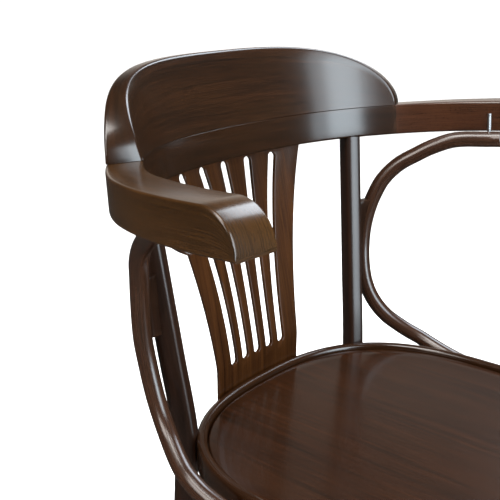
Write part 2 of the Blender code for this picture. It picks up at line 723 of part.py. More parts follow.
hoop_keys = [under_arm(in_plan(x, y)) if rise is None else in_plan(x, y, rise * RAIL_UNDERSIDE)
             for x, y, rise in HOOP_LINE]
hoop_line = smooth_line(hoop_keys, 2)
hoop_radii = [HOOP_RADIUS] * len(hoop_line)
hoops = {}
spacers = {}
for side, sign in SIDES:
    line = [flipped(p, sign) for p in hoop_line]
    name = "side_hoop_" + side
    hoops[side] = add_piece(name, tube_mesh(name, line, hoop_radii, fineness=2), WALNUT_STAIN)
    cut(hoops[side], ring_space)
    hoop_space = add_cutter("hoop_space_" + side, tube_mesh(
        "hoop_space_" + side, line, hoop_radii, grow=GAP, fineness=2))
    leg_line = [flipped(p, sign) for p in rear_line]
    loops = []
    for i in range(6):
        height = (SPACER_LOW + (SPACER_HIGH - SPACER_LOW) * i / 5) * RAIL_UNDERSIDE
        at_leg = line_at_height(leg_line, height)
        at_hoop = line_at_height(line, height)
        across = (at_hoop - at_leg).normalized()
        sideways = Vector((-across.y, across.x, 0.0)) * 0.5 * SPACER_WIDTH
        at_leg = at_leg + across * SPACER_HOUSING
        at_hoop = at_hoop - across * SPACER_HOUSING
        loops.append([at_leg - sideways, at_hoop - sideways, at_hoop + sideways,
                      at_leg + sideways])
    name = "hoop_spacer_" + side
    spacers[side] = add_piece(name, loft_mesh(name, loops), WALNUT_STAIN)
    cut(spacers[side], leg_spaces[side])
    cut(spacers[side], hoop_space)


# Stretcher hoop, with the outline of the seat, that touches the four legs from inside

stretcher_z = -STRETCHER_DROP * SEAT_HEIGHT


def stretcher_contact(line, radius):
    place = line_at_height(line, stretcher_z)
    inward = Vector((-place.x, -place.y, 0.0)).normalized()
    return place + inward * (radius + STRETCHER_RADIUS + GAP - STRETCHER_HOUSING), place


rear_contact, rear_place = stretcher_contact(rear_line, rear_radius(stretcher_z))
front_contact, front_place = stretcher_contact(front_line, front_radius(stretcher_z))


# Half width of the seat outline that passes through a place, centred on a depth
def outline_size(place, middle):
    depth = (place.y - middle) * SEAT_WIDTH / SEAT_DEPTH
    return (abs(place.x) ** SEAT_SQUARENESS + abs(depth) ** SEAT_SQUARENESS) ** (
        1.0 / SEAT_SQUARENESS)


nearest, farthest = front_contact.y, rear_contact.y
for _ in range(40):
    stretcher_middle = 0.5 * (nearest + farthest)
    if outline_size(rear_contact, stretcher_middle) > outline_size(front_contact,
                                                                   stretcher_middle):
        nearest = stretcher_middle
    else:
        farthest = stretcher_middle
stretcher_half = outline_size(rear_contact, stretcher_middle)
stretcher_line = []
for i in range(STRETCHER_STEPS):
    place = seat_edge(2.0 * math.pi * i / STRETCHER_STEPS) * (stretcher_half / (SEAT_WIDTH / 2))
    stretcher_line.append(Vector((place.x, place.y + stretcher_middle, stretcher_z)))


def hoop_ring(name, radius):
    return tube_mesh(name, stretcher_line, [radius] * len(stretcher_line), fineness=2, ring=True)


stretcher_ring = add_piece("stretcher_ring", hoop_ring("stretcher_ring", STRETCHER_RADIUS),
                           WALNUT_STAIN)
stretcher_space = add_cutter("stretcher_space",
                             hoop_ring("stretcher_space", STRETCHER_RADIUS + GAP))
for side, sign in SIDES:
    cut(rear_legs[side], stretcher_space)
    cut(front_legs[side], stretcher_space)


# Fasteners, each with its bore in what it joins. A spot is a suffix, a start and a direction

def fasten(name, head_radius, head_height, shank_radius, length, spots, joined):
    profile = headed_profile(head_radius, head_height, shank_radius, length)
    for suffix, start, direction in spots:
        full_name = name + "_" + suffix
        add_piece(full_name, turned_mesh(full_name, profile, [(start, direction)]), ZINC, 0.35, 1.0)
    bore = add_cutter(name + "_bore", turned_mesh(name + "_bore", bore_profile(
        head_radius, head_height, shank_radius, length), [spot[1:] for spot in spots]))
    for piece in joined:
        cut(piece, bore)


bolt_spots = []
bolt_reach = rear_radius(-BOLT_DEPTH) - BOLT_SINK
bolt_length = bolt_reach + REAR_LEG_SEAT_RADIUS + 0.8 * RING_WIDTH
for side, sign in SIDES:
    place = flipped(line_at_height(rear_line, -BOLT_DEPTH), sign)
    inward = Vector((-place.x, -place.y, 0.0)).normalized()
    bolt_spots.append((side, place - inward * bolt_reach, inward))
fasten("leg_bolt", BOLT_HEAD_RADIUS, BOLT_HEAD_HEIGHT, BOLT_RADIUS, bolt_length, bolt_spots,
       [rear_legs["left"], rear_legs["right"], seat_ring])

stretcher_spots = []
for end, place, radius in (("rear", rear_place, rear_radius(stretcher_z)),
                           ("front", front_place, front_radius(stretcher_z))):
    for side, sign in SIDES:
        spot = flipped(place, sign)
        inward = Vector((-spot.x, stretcher_middle - spot.y, 0.0)).normalized()
        start = spot - inward * (radius - 2.0 * SCREW_SINK)
        stretcher_spots.append((end + "_" + side, start, inward))
screw_length = rear_radius(stretcher_z) * 2.0 + STRETCHER_SCREW_GRIP
fasten("stretcher_screw", SCREW_HEAD_RADIUS, SCREW_HEAD_HEIGHT, SCREW_RADIUS, screw_length,
       stretcher_spots, list(rear_legs.values()) + list(front_legs.values()) + [stretcher_ring])

arm_screw_spots = []
leg_screw_spots = []
seat_screw_spots = []
rail_up = (plane.to_3x3() @ Vector((0.0, 0.0, 1.0))).normalized()
sink = HOOP_RADIUS - SCREW_SINK
for side, sign in SIDES:
    spot = flipped(hoop_keys[HOOP_ARM_KEY], sign)
    arm_screw_spots.append((side, spot - rail_up * sink, rail_up))
    spot = flipped(hoop_keys[HOOP_SPACER_KEY], sign)
    leg_spot = flipped(line_at_height(rear_line, spot.z), sign)
    inward = (leg_spot - spot).normalized()
    leg_screw_spots.append((side, spot - inward * sink, inward))
    spot = flipped(hoop_keys[HOOP_SEAT_KEY], sign)
    inward = Vector((-sign, 0.0, 0.0))
    seat_screw_spots.append((side, spot - inward * sink, inward))
fasten("hoop_arm_screw", SCREW_HEAD_RADIUS, SCREW_HEAD_HEIGHT, SCREW_RADIUS, ARM_SCREW_LENGTH,
       arm_screw_spots, [hoops["left"], hoops["right"], arms["left"], arms["right"]])
fasten("hoop_leg_screw", SCREW_HEAD_RADIUS, SCREW_HEAD_HEIGHT, SCREW_RADIUS, LEG_SCREW_LENGTH,
       leg_screw_spots, [hoops["left"], hoops["right"], spacers["left"], spacers["right"],
                         rear_legs["left"], rear_legs["right"]])
fasten("hoop_seat_screw", SCREW_HEAD_RADIUS, SCREW_HEAD_HEIGHT, SCREW_RADIUS, SEAT_SCREW_LENGTH,
       seat_screw_spots, [hoops["left"], hoops["right"], seat_ring])

splat_screw_spots = []
for side, sign in SIDES:
    x = sign * SPLAT_SCREW_SHARE * splat_half_width(0.0)
    back = splat_front(x, -SPLAT_SCREW_DEPTH) + SPLAT_THICKNESS
    splat_screw_spots.append((side, Vector((x, back + SCREW_SINK, -SPLAT_SCREW_DEPTH)),
                              Vector((0.0, -1.0, 0.0))))
fasten("splat_screw", SCREW_HEAD_RADIUS, SCREW_HEAD_HEIGHT, SCREW_RADIUS, SPLAT_SCREW_LENGTH,
       splat_screw_spots, [splat, seat_ring])


# Dowels

def add_dowels(name, spots, joined):
    for suffix, start, direction in spots:
        full_name = name + "_" + suffix
        add_piece(full_name, turned_mesh(full_name, plain_profile(DOWEL_RADIUS, DOWEL_LENGTH),
                                         [(start, direction)]), BARE_BEECH, 0.6)
    bore = add_cutter(name + "_bore", turned_mesh(name + "_bore", plain_profile(
        DOWEL_RADIUS, DOWEL_LENGTH, GAP), [spot[1:] for spot in spots]))
    for piece in joined:
        cut(piece, bore)


crest_spots = []
for suffix, share in (("left", -CREST_DOWEL_SHARE), ("middle", 0.0),
                      ("right", CREST_DOWEL_SHARE)):
    inner = along(crest_inner, inner_middle + share * crest_half_length)
    outer = along(crest_outer, outer_middle + share * outer_half_length)
    spot = inner.lerp(outer, 0.55)
    spot.z = RAIL_HEIGHT - 0.5 * DOWEL_LENGTH
    crest_spots.append((suffix, plane @ spot, rail_up))
add_dowels("crest_dowel", crest_spots, [back_rail, crest_rail])

arm_spots = []
for side, sign in SIDES:
    joint = rail_inner[-1] + joint_normal * 0.5 * RAIL_WIDTH
    for level, height in (("low", 0.27 * RAIL_HEIGHT), ("high", 0.73 * RAIL_HEIGHT)):
        spot = joint - joint_direction * 0.5 * DOWEL_LENGTH
        spot.z = height
        direction = plane.to_3x3() @ flipped(joint_direction, sign)
        arm_spots.append((side + "_" + level, plane @ flipped(spot, sign), direction))
add_dowels("arm_dowel", arm_spots, [back_rail, arms["left"], arms["right"]])


# Glides under the four feet

glide_profile = [
    (0.0, 0.0), (GLIDE_RADIUS - GLIDE_ROUND, 0.0), (GLIDE_RADIUS, GLIDE_ROUND),
    (GLIDE_RADIUS, GLIDE_THICKNESS), (GLIDE_NAIL_RADIUS, GLIDE_THICKNESS),
    (GLIDE_NAIL_RADIUS, GLIDE_THICKNESS + GLIDE_NAIL_LENGTH),
    (0.0, GLIDE_THICKNESS + GLIDE_NAIL_LENGTH),
]
glide_frames = []
for end, line in (("rear", rear_line), ("front", front_line)):
    foot = line_at_height(line, -SEAT_HEIGHT + GLIDE_THICKNESS)
    foot.z = -SEAT_HEIGHT
    for side, sign in SIDES:
        frame = (flipped(foot, sign), Vector((0.0, 0.0, 1.0)))
        glide_frames.append(frame)
        name = "glide_" + end + "_" + side
        add_piece(name, turned_mesh(name, glide_profile, [frame], 16), GLIDE_BROWN, 0.5)
nail_space = add_cutter("nail_space", turned_mesh("nail_space", plain_profile(
    GLIDE_NAIL_RADIUS, GLIDE_THICKNESS + GLIDE_NAIL_LENGTH, GAP), glide_frames))
for side, sign in SIDES:
    cut(rear_legs[side], nail_space)
    cut(front_legs[side], nail_space)


# Place over the floor, with the middle of the footprint box at the origin

bpy.context.view_layer.update()
depsgraph = bpy.context.evaluated_depsgraph_get()
depths = []
for piece in chair.objects:
    shape = piece.evaluated_get(depsgraph)
    depths.extend((shape.matrix_world @ Vector(corner)).y for corner in shape.bound_box)
shift = Vector((0.0, -0.5 * (min(depths) + max(depths)), SEAT_HEIGHT))
for group in (chair, cutters):
    for piece in group.objects:
        piece.location = shift
print("seat middle stands at", tuple(shift))
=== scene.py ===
from math import atan, copysign, cos, pi, radians, sin, sqrt, tan
import bmesh
import bpy
from mathutils import Matrix, Vector
from mathutils.geometry import interpolate_bezier


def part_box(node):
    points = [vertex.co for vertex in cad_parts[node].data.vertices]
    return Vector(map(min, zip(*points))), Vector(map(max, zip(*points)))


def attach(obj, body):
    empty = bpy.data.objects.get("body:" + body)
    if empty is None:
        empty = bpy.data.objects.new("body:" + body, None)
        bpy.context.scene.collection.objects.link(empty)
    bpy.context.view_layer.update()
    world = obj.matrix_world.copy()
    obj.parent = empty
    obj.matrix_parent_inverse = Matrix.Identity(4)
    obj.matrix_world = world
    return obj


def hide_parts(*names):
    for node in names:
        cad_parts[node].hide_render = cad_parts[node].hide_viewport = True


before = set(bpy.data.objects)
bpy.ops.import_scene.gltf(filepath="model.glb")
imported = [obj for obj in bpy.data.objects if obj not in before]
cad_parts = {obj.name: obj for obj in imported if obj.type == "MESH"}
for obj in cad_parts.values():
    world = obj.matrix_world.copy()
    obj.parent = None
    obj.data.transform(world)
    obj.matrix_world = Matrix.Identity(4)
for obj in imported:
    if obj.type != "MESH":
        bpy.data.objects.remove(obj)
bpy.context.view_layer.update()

# Bentwood armchair seen from its front left. +Z is up, the chair faces -Y, in metres.
# Pieces are drawn around the middle of the seat, with heights from the crown of the seat
# ring, and moved over the floor when they are finished.
ringLow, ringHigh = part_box("seat_ring")
seatMiddle = Vector((0.0, 0.5 * (ringLow.y + ringHigh.y), ringHigh.z))
seatWidth = ringHigh.x - ringLow.x
seatDepth = ringHigh.y - ringLow.y
seatHeight = ringHigh.z
sides = (("left", -1.0), ("right", 1.0))
gap = 0.0003           # clearance between pieces that rest on or in each other
mostRound = 0.45       # largest share of an edge that the round at one end of it takes
leastStation = 0.002   # no loop of a leg lies closer than this to the one at its foot
quarterTurn = (0, 22, 45, 68, 90)    # degrees at which rounded edges have their points
print("frame loaded, seat middle", tuple(round(c, 4) for c in seatMiddle))


def deselectAll():
    if bpy.context.mode != "OBJECT":
        bpy.ops.object.mode_set(mode="OBJECT")
    bpy.ops.object.select_all(action="DESELECT")


def makeActive(piece):
    deselectAll()
    piece.select_set(True)
    bpy.context.view_layer.objects.active = piece


def applyModifier(piece, kind, **settings):
    makeActive(piece)
    modifier = piece.modifiers.new(kind.lower(), kind)
    for key, value in settings.items():
        setattr(modifier, key, value)
    bpy.ops.object.modifier_apply(modifier=modifier.name)


def smoothLine(keys, steps):  # smooth curve through the keys, in steps between each two
    line = []
    for i in range(len(keys) - 1):
        before, after = keys[max(i - 1, 0)], keys[min(i + 2, len(keys) - 1)]
        start, end = keys[i], keys[i + 1]
        reach = (end - start).length / 3.0
        leave = start + (end - before).normalized() * reach
        arrive = end - (after - start).normalized() * reach
        line.extend(interpolate_bezier(start, leave, arrive, end, steps + 1)[:-1])
    line.append(keys[-1].copy())
    return line


def lineLength(line):
    return sum((b - a).length for a, b in zip(line, line[1:]))


def along(line, distance):  # point at a distance from the start, straight on past the ends
    last = len(line) - 2
    for i in range(last + 1):
        length = (line[i + 1] - line[i]).length
        if distance <= length or i == last:
            return line[i] + (line[i + 1] - line[i]) * (distance / length)
        distance -= length


def offsetLine(line, distance):  # plan line moved to the left of its direction
    moved = []
    for i, place in enumerate(line):
        step = line[min(i + 1, len(line) - 1)] - line[max(i - 1, 0)]
        moved.append(place + Vector((-step.y, step.x, 0.0)).normalized() * distance)
    return moved


def atHeight(line, z):
    for a, b in zip(line, line[1:]):
        if min(a.z, b.z) <= z <= max(a.z, b.z):
            return a.lerp(b, (z - a.z) / (b.z - a.z))


def inPlan(across, back, z=0.0):  # shares of half the seat's width and depth
    return Vector((0.5 * seatWidth * across, 0.5 * seatDepth * back, z))


def flipped(place, sign):
    return Vector((place.x * sign, place.y, place.z))


def mirrored(line, sign):
    return [flipped(place, sign) for place in line]


def blend(low, high, share):
    return low + (high - low) * share


def roundedPolygon(corners, radii, steps):  # flat points with an arc at every corner
    points = []
    weight = 1.42    # pull of the corner that bends the curve close to a quarter circle
    for i, corner in enumerate(corners):
        corner = Vector(corner)
        toLast = Vector(corners[i - 1]) - corner
        toNext = Vector(corners[(i + 1) % len(corners)]) - corner
        radius = min(radii[i], mostRound * toLast.length, mostRound * toNext.length)
        start = corner + toLast.normalized() * radius
        end = corner + toNext.normalized() * radius
        for k in range(steps + 1):
            t = k / steps
            point = start * (1 - t) ** 2 + corner * weight * t * (1 - t) + end * t ** 2
            points.append(point / ((1 - t) ** 2 + weight * t * (1 - t) + t ** 2))
    return points


def softSquare(halfWide, halfDeep, squareness, steps):  # 2 is an ellipse, larger is squarer
    power = 2.0 / squareness
    points = []
    for i in range(steps):
        turn = 2.0 * pi * i / steps
        points.append((copysign(abs(cos(turn)) ** power, cos(turn)) * halfWide,
                       copysign(abs(sin(turn)) ** power, sin(turn)) * halfDeep))
    return points


def placeSelected(piece, loop, station):
    shape = bmesh.from_edit_mesh(piece.data)
    aroundTag = shape.verts.layers.int["around"]
    stationTag = shape.verts.layers.int["station"]
    for vert in shape.verts:
        if vert.select:
            vert.co = loop[vert[aroundTag]]
            vert[stationTag] = station
    bmesh.update_edit_mesh(piece.data)


def sweep(name, loops, ring=False, grainAround=False):
    # a circle is extruded from loop to loop; a ring's last loop is welded to its first
    deselectAll()
    count = len(loops[0])
    bpy.ops.mesh.primitive_circle_add(vertices=count, radius=0.01,
                                      fill_type="NOTHING" if ring else "NGON")
    piece = bpy.context.object
    piece.name = piece.data.name = name
    bpy.ops.object.mode_set(mode="EDIT")
    shape = bmesh.from_edit_mesh(piece.data)
    aroundTag = shape.verts.layers.int.new("around")
    shape.verts.layers.int.new("station")
    for number, vert in enumerate(shape.verts):
        vert[aroundTag] = number
    bpy.ops.mesh.select_all(action="SELECT")
    placeSelected(piece, loops[0], 0)
    for station, loop in enumerate(loops[1:] + (loops[:1] if ring else []), 1):
        bpy.ops.mesh.extrude_region_move()
        placeSelected(piece, loop, station)
    writeGrainMap(piece, loops, ring, grainAround)
    bpy.ops.mesh.select_all(action="SELECT")
    if ring:
        bpy.ops.mesh.remove_doubles(threshold=0.00001)
    bpy.ops.mesh.normals_make_consistent(inside=False)
    bpy.ops.object.mode_set(mode="OBJECT")
    return piece


def writeGrainMap(piece, loops, ring, grainAround):
    # u runs with the grain and v across it, both in metres; end faces get a map of their own
    endSlope = 0.15
    closed = loops + loops[:1] if ring else loops
    across = [0.0]
    for a, b in zip(closed, closed[1:]):
        if grainAround:
            across.append(across[-1] + (b[0] - a[0]).length)
        else:
            middleA = sum(a, Vector()) / len(a)
            middleB = sum(b, Vector()) / len(b)
            across.append(across[-1] + (middleB - middleA).length)
    widest = max(loops, key=lineLength)
    aroundLengths = [0.0]
    for a, b in zip(widest, widest[1:] + widest[:1]):
        aroundLengths.append(aroundLengths[-1] + (b - a).length)
    shape = bmesh.from_edit_mesh(piece.data)
    grain = shape.loops.layers.uv.get("grain") or shape.loops.layers.uv.new("grain")
    aroundTag = shape.verts.layers.int["around"]
    stationTag = shape.verts.layers.int["station"]
    count = len(widest)
    for face in shape.faces:
        tags = [vert[aroundTag] for vert in face.verts]
        wraps = len(tags) == 4 and max(tags) - min(tags) > count / 2
        for corner in face.loops:
            tag = corner.vert[aroundTag]
            turn = aroundLengths[count if wraps and tag == 0 else tag]
            run = across[corner.vert[stationTag]]
            if len(tags) > 4:
                spot = corner.vert.co - face.calc_center_median()
                run, turn = run + endSlope * spot.x, spot.y + spot.z
            corner[grain].uv = (turn, run) if grainAround else (run, turn)
    bmesh.update_edit_mesh(piece.data)


def rod(name, line, radii, steps):
    loops = []
    side = Vector((1.0, 0.0, 0.0))
    for i, place in enumerate(line):
        ahead = (line[min(i + 1, len(line) - 1)] - line[max(i - 1, 0)]).normalized()
        side = (side - ahead * side.dot(ahead)).normalized()
        other = ahead.cross(side)
        loops.append([place + (side * cos(turn) + other * sin(turn)) * radii[i]
                      for turn in (2.0 * pi * k / steps for k in range(steps))])
    return sweep(name, loops)


def carve(piece, tools):  # cuts the tools out of a piece and throws them away
    for tool in tools:
        applyModifier(piece, "BOOLEAN", operation="DIFFERENCE", solver="EXACT", object=tool)
    for tool in tools:
        bpy.data.objects.remove(tool)


def finishPiece(piece, material, nodes, angle=32):  # edges under the angle are smooth
    makeActive(piece)
    bpy.ops.object.shade_smooth_by_angle(angle=radians(angle))
    for attribute in ("around", "station"):
        if attribute in piece.data.attributes:
            piece.data.attributes.remove(piece.data.attributes[attribute])
    layers = piece.data.uv_layers
    if "grain" in layers:    # the primitive's own map goes, so the grain map is the one in use
        for spare in [layer.name for layer in layers if layer.name != "grain"]:
            layers.remove(layers[spare])
        layers["grain"].active_render = True
    piece.location = seatMiddle
    bpy.ops.object.transform_apply(location=True, rotation=True, scale=True)
    piece.data.materials.clear()
    piece.data.materials.append(material)
    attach(piece, "root")
    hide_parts(*nodes)
    deselectAll()


# Shader groups

def newGroup(name, inputs, outputs):
    group = bpy.data.node_groups.new(name, "ShaderNodeTree")
    for way, sockets in (("INPUT", inputs), ("OUTPUT", outputs)):
        for label, kind in sockets.items():
            group.interface.new_socket(label, in_out=way, socket_type="NodeSocket" + kind)
    return group, group.nodes.new("NodeGroupInput"), group.nodes.new("NodeGroupOutput")


def addNode(tree, kind, label, **settings):
    node = tree.nodes.new(kind)
    node.label = label
    for key, value in settings.items():
        setattr(node, key, value)
    return node


def setInputs(node, values):
    for label, value in values.items():
        node.inputs[label].default_value = value


def noise(tree, label, vector, scale, detail, roughness=0.5):
    node = addNode(tree, "ShaderNodeTexNoise", label)
    setInputs(node, {"Scale": scale, "Detail": detail, "Roughness": roughness})
    tree.links.new(vector, node.inputs["Vector"])
    return node.outputs["Fac"]


def stretched(tree, label, vector, scale, place=(0.0, 0.0, 0.0)):
    node = addNode(tree, "ShaderNodeMapping", label)
    setInputs(node, {"Scale": scale, "Location": place})
    tree.links.new(vector, node.inputs["Vector"])
    return node.outputs["Vector"]


def figure(tree, label, grain, size, detail):  # noise with features of a size along the grain
    return noise(tree, label, stretched(tree, label + "Size", grain, size), 1.0, detail)


def ranged(tree, label, value, low, high, toLow=0.0, toHigh=1.0):
    node = addNode(tree, "ShaderNodeMapRange", label)
    setInputs(node, {"From Min": low, "From Max": high, "To Min": toLow, "To Max": toHigh})
    tree.links.new(value, node.inputs["Value"])
    return node.outputs["Result"]


def calc(tree, label, operation, first, second):
    node = addNode(tree, "ShaderNodeMath", label, operation=operation)
    for socket, value in zip(node.inputs, (first, second)):
        if isinstance(value, (int, float)):
            socket.default_value = value
        else:
            tree.links.new(value, socket)
    return node.outputs["Value"]


def mixed(tree, label, amount, first, second, mode="MIX"):
    node = addNode(tree, "ShaderNodeMix", label, data_type="RGBA", blend_type=mode)
    for socket, value in ((node.inputs["Factor"], amount), (node.inputs["A"], first),
                          (node.inputs["B"], second)):
        if isinstance(value, (int, float)):
            socket.default_value = value
        elif isinstance(value, tuple):
            socket.default_value = (*value, 1.0)
        else:
            tree.links.new(value, socket)
    return node.outputs["Result"]


# Stained beech, u with the grain: broad clouds, growth bands, fine fibres and short flecks.
# The sizes count features in a metre along and across the grain.
def buildStainedBeech():
    group, given, result = newGroup(
        "stainedBeech",
        {"Grain": "Vector", "Dark": "Color", "Middle": "Color", "Warm": "Color",
         "Band Strength": "Float", "Fleck Strength": "Float", "Gloss": "Float"},
        {"Color": "Color", "Roughness": "Float", "Height": "Float"})
    grain = given.outputs["Grain"]
    clouds = figure(group, "clouds", grain, (5.0, 22.0, 5.0), 2.0)
    waver = figure(group, "waver", grain, (3.0, 9.0, 3.0), 1.0)
    bandPlace = stretched(group, "bandSize", grain, (2.2, 150.0, 2.2))
    shifted = addNode(group, "ShaderNodeVectorMath", "bandWander", operation="ADD")
    wander = addNode(group, "ShaderNodeCombineXYZ", "wander")
    group.links.new(calc(group, "wanderSize", "MULTIPLY", waver, 4.0), wander.inputs["Y"])
    group.links.new(bandPlace, shifted.inputs[0])
    group.links.new(wander.outputs["Vector"], shifted.inputs[1])
    bands = noise(group, "growthBands", shifted.outputs["Vector"], 1.0, 4.0, 0.6)
    fibres = figure(group, "fibres", grain, (28.0, 800.0, 28.0), 2.0)
    flecks = figure(group, "flecks", grain, (330.0, 1700.0, 330.0), 1.0)
    fleckMask = ranged(group, "fleckMask", flecks, 0.55, 0.68)
    bandMask = ranged(group, "bandMask", bands, 0.36, 0.66)
    cloudMask = ranged(group, "cloudMask", clouds, 0.32, 0.68)
    base = mixed(group, "darkToMiddle", cloudMask, given.outputs["Dark"], given.outputs["Middle"])
    bandAmount = calc(group, "bandAmount", "MULTIPLY", bandMask, given.outputs["Band Strength"])
    base = mixed(group, "warmBands", bandAmount, base, given.outputs["Warm"])
    fibreShade = ranged(group, "fibreShade", fibres, 0.3, 0.7, 0.68, 1.26)
    shade = addNode(group, "ShaderNodeCombineColor", "fibreGrey")
    for channel in ("Red", "Green", "Blue"):
        group.links.new(fibreShade, shade.inputs[channel])
    base = mixed(group, "fibreTone", 1.0, base, shade.outputs["Color"], "MULTIPLY")
    fleckAmount = calc(group, "fleckAmount", "MULTIPLY", fleckMask,
                       given.outputs["Fleck Strength"])
    base = mixed(group, "fleckTone", fleckAmount, base, given.outputs["Dark"])
    rough = calc(group, "roughWithFibres", "ADD", given.outputs["Gloss"],
                 ranged(group, "roughSpread", fibres, 0.3, 0.7, -0.04, 0.05))
    rough = calc(group, "roughWithClouds", "ADD", rough,
                 ranged(group, "roughClouds", clouds, 0.3, 0.7, 0.03, -0.03))
    height = calc(group, "pores", "SUBTRACT", calc(group, "fibreHeight", "MULTIPLY", fibres, 0.6),
                  calc(group, "fleckDepth", "MULTIPLY", fleckMask, 0.5))
    group.links.new(base, result.inputs["Color"])
    group.links.new(rough, result.inputs["Roughness"])
    group.links.new(height, result.inputs["Height"])
    return group


# Stain rubbed thin along raised edges, and painted shade that darkens the inner corners
def buildWearAndCornerShade():
    group, given, result = newGroup(
        "wearAndCornerShade", {"Color": "Color", "Worn": "Color", "Amount": "Float"},
        {"Color": "Color"})
    geometry = addNode(group, "ShaderNodeNewGeometry", "edges")
    edge = ranged(group, "edgeMask", geometry.outputs["Pointiness"], 0.515, 0.60)
    place = addNode(group, "ShaderNodeTexCoord", "place")
    blotches = noise(group, "patchNoise", place.outputs["Object"], 45.0, 4.0)
    patches = ranged(group, "patches", blotches, 0.38, 0.62)
    worn = calc(group, "wornEdges", "MULTIPLY", edge, patches)
    worn = calc(group, "wornAmount", "MULTIPLY", worn, given.outputs["Amount"])
    # painted shade: where pointiness is low, in inner corners, the colour is darkened towards a
    # near black brown
    corner = ranged(group, "paintedCornerShadeMask", geometry.outputs["Pointiness"], 0.49, 0.42, 0.0, 0.5)
    color = mixed(group, "wornColor", worn, given.outputs["Color"], given.outputs["Worn"])
    color = mixed(group, "paintedCornerShade", corner, color, (0.012, 0.006, 0.004))
    group.links.new(color, result.inputs["Color"])
    return group


stainedBeech = buildStainedBeech()
wearAndCornerShade = buildWearAndCornerShade()


def woodFinish(name, look):
    material = bpy.data.materials.new(name)
    material.use_nodes = True
    tree = material.node_tree
    shader = tree.nodes["Principled BSDF"]
    place = addNode(tree, "ShaderNodeTexCoord", "place")
    source = place.outputs["Object"] if look.get("straight") else place.outputs["UV"]
    vector = stretched(tree, "grainPlace", source, (1.0, 1.0, 1.0),
                       look.get("offset", (0.0, 0.0, 0.0)))
    if "turn" in look:
        tree.nodes[-1].inputs["Rotation"].default_value = look["turn"]
    wood = addNode(tree, "ShaderNodeGroup", "stainedBeech", node_tree=stainedBeech)
    setInputs(wood, {"Dark": (*look["dark"], 1.0), "Middle": (*look["middle"], 1.0),
                     "Warm": (*look["warm"], 1.0), "Band Strength": look["bands"],
                     "Fleck Strength": look["flecks"], "Gloss": look["roughness"]})
    tree.links.new(vector, wood.inputs["Grain"])
    edges = addNode(tree, "ShaderNodeGroup", "wearAndCornerShade", node_tree=wearAndCornerShade)
    setInputs(edges, {"Worn": (*look["worn"], 1.0), "Amount": look["wear"]})
    tree.links.new(wood.outputs["Color"], edges.inputs["Color"])
    tree.links.new(edges.outputs["Color"], shader.inputs["Base Color"])
    tree.links.new(wood.outputs["Roughness"], shader.inputs["Roughness"])
    bump = addNode(tree, "ShaderNodeBump", "openGrain")
    setInputs(bump, {"Strength": look["relief"], "Distance": look["reliefDepth"]})
    tree.links.new(wood.outputs["Height"], bump.inputs["Height"])
    tree.links.new(bump.outputs["Normal"], shader.inputs["Normal"])
    setInputs(shader, {"Specular IOR Level": look["shine"], "Coat Weight": look["lacquer"],
                       "Coat Roughness": look["lacquerRoughness"]})
    return material


# The stain of the rail; the other pieces name only what differs from it
walnut = {"dark": (0.0068, 0.0027, 0.0009), "middle": (0.0125, 0.0050, 0.0015),
          "warm": (0.0290, 0.0098, 0.0032), "worn": (0.13, 0.060, 0.030), "bands": 0.35,
          "flecks": 0.35, "roughness": 0.46, "relief": 0.25, "reliefDepth": 0.0002,
          "shine": 0.02, "wear": 0.2, "lacquer": 0.85, "lacquerRoughness": 0.15}
railFinish = woodFinish("walnutRail", dict(walnut, lacquerRoughness=0.18))
crestFinish = woodFinish("walnutCrest", dict(
    walnut, bands=0.45, wear=0.02, lacquerRoughness=0.20))
armFinish = woodFinish("walnutArm", dict(
    walnut, dark=(0.0160, 0.0068, 0.0014), middle=(0.0300, 0.0124, 0.0025),
    warm=(0.0470, 0.0190, 0.0042), flecks=0.8, relief=0.8, lacquerRoughness=0.21))
# painted light: the far arm gets a redder copy of the arm's stain for how the light falls on it,
# though both arms are the same wood
farArmPaintedLightFinish = woodFinish("walnutFarArmPaintedLight", dict(
    walnut, dark=(0.0180, 0.0060, 0.0022), middle=(0.0330, 0.0110, 0.0042),
    warm=(0.0550, 0.0175, 0.0068), flecks=0.8, relief=0.8, lacquerRoughness=0.20))
splatFinish = woodFinish("walnutSplat", dict(
    walnut, dark=(0.0140, 0.0040, 0.0007), middle=(0.0295, 0.0098, 0.0020),
    warm=(0.0580, 0.0198, 0.0052), bands=0.55, lacquer=0.5, lacquerRoughness=0.24))
seatFinish = woodFinish("walnutSeatRing", dict(
    walnut, dark=(0.0100, 0.0037, 0.0011), middle=(0.0175, 0.0064, 0.0020),
    warm=(0.0300, 0.0102, 0.0034)))
panelFinish = woodFinish("walnutSeatPanel", dict(
    walnut, dark=(0.0078, 0.0028, 0.0009), middle=(0.0140, 0.0050, 0.0016),
    warm=(0.0290, 0.0090, 0.0031), bands=0.45, straight=True, turn=(0.0, 0.0, pi / 2),
    lacquerRoughness=0.16))
legFinish = woodFinish("walnutLegs", dict(
    walnut, dark=(0.0070, 0.0025, 0.0010), middle=(0.0135, 0.0047, 0.0018),
    warm=(0.0260, 0.0084, 0.0034), lacquerRoughness=0.30, offset=(0.37, 0.11, 0.0)))
hoopFinish = woodFinish("walnutHoops", dict(
    walnut, dark=(0.0140, 0.0056, 0.0026), middle=(0.0250, 0.0100, 0.0046),
    warm=(0.0420, 0.0160, 0.0076), lacquer=1.0, lacquerRoughness=0.23,
    offset=(0.83, 0.42, 0.0)))
spacerFinish = woodFinish("walnutSpacer", dict(
    walnut, dark=(0.0080, 0.0034, 0.0018), middle=(0.0140, 0.0056, 0.0028),
    warm=(0.0200, 0.0080, 0.0040), lacquer=0.3, offset=(0.21, 0.64, 0.0)))
print("wood finishes mixed")


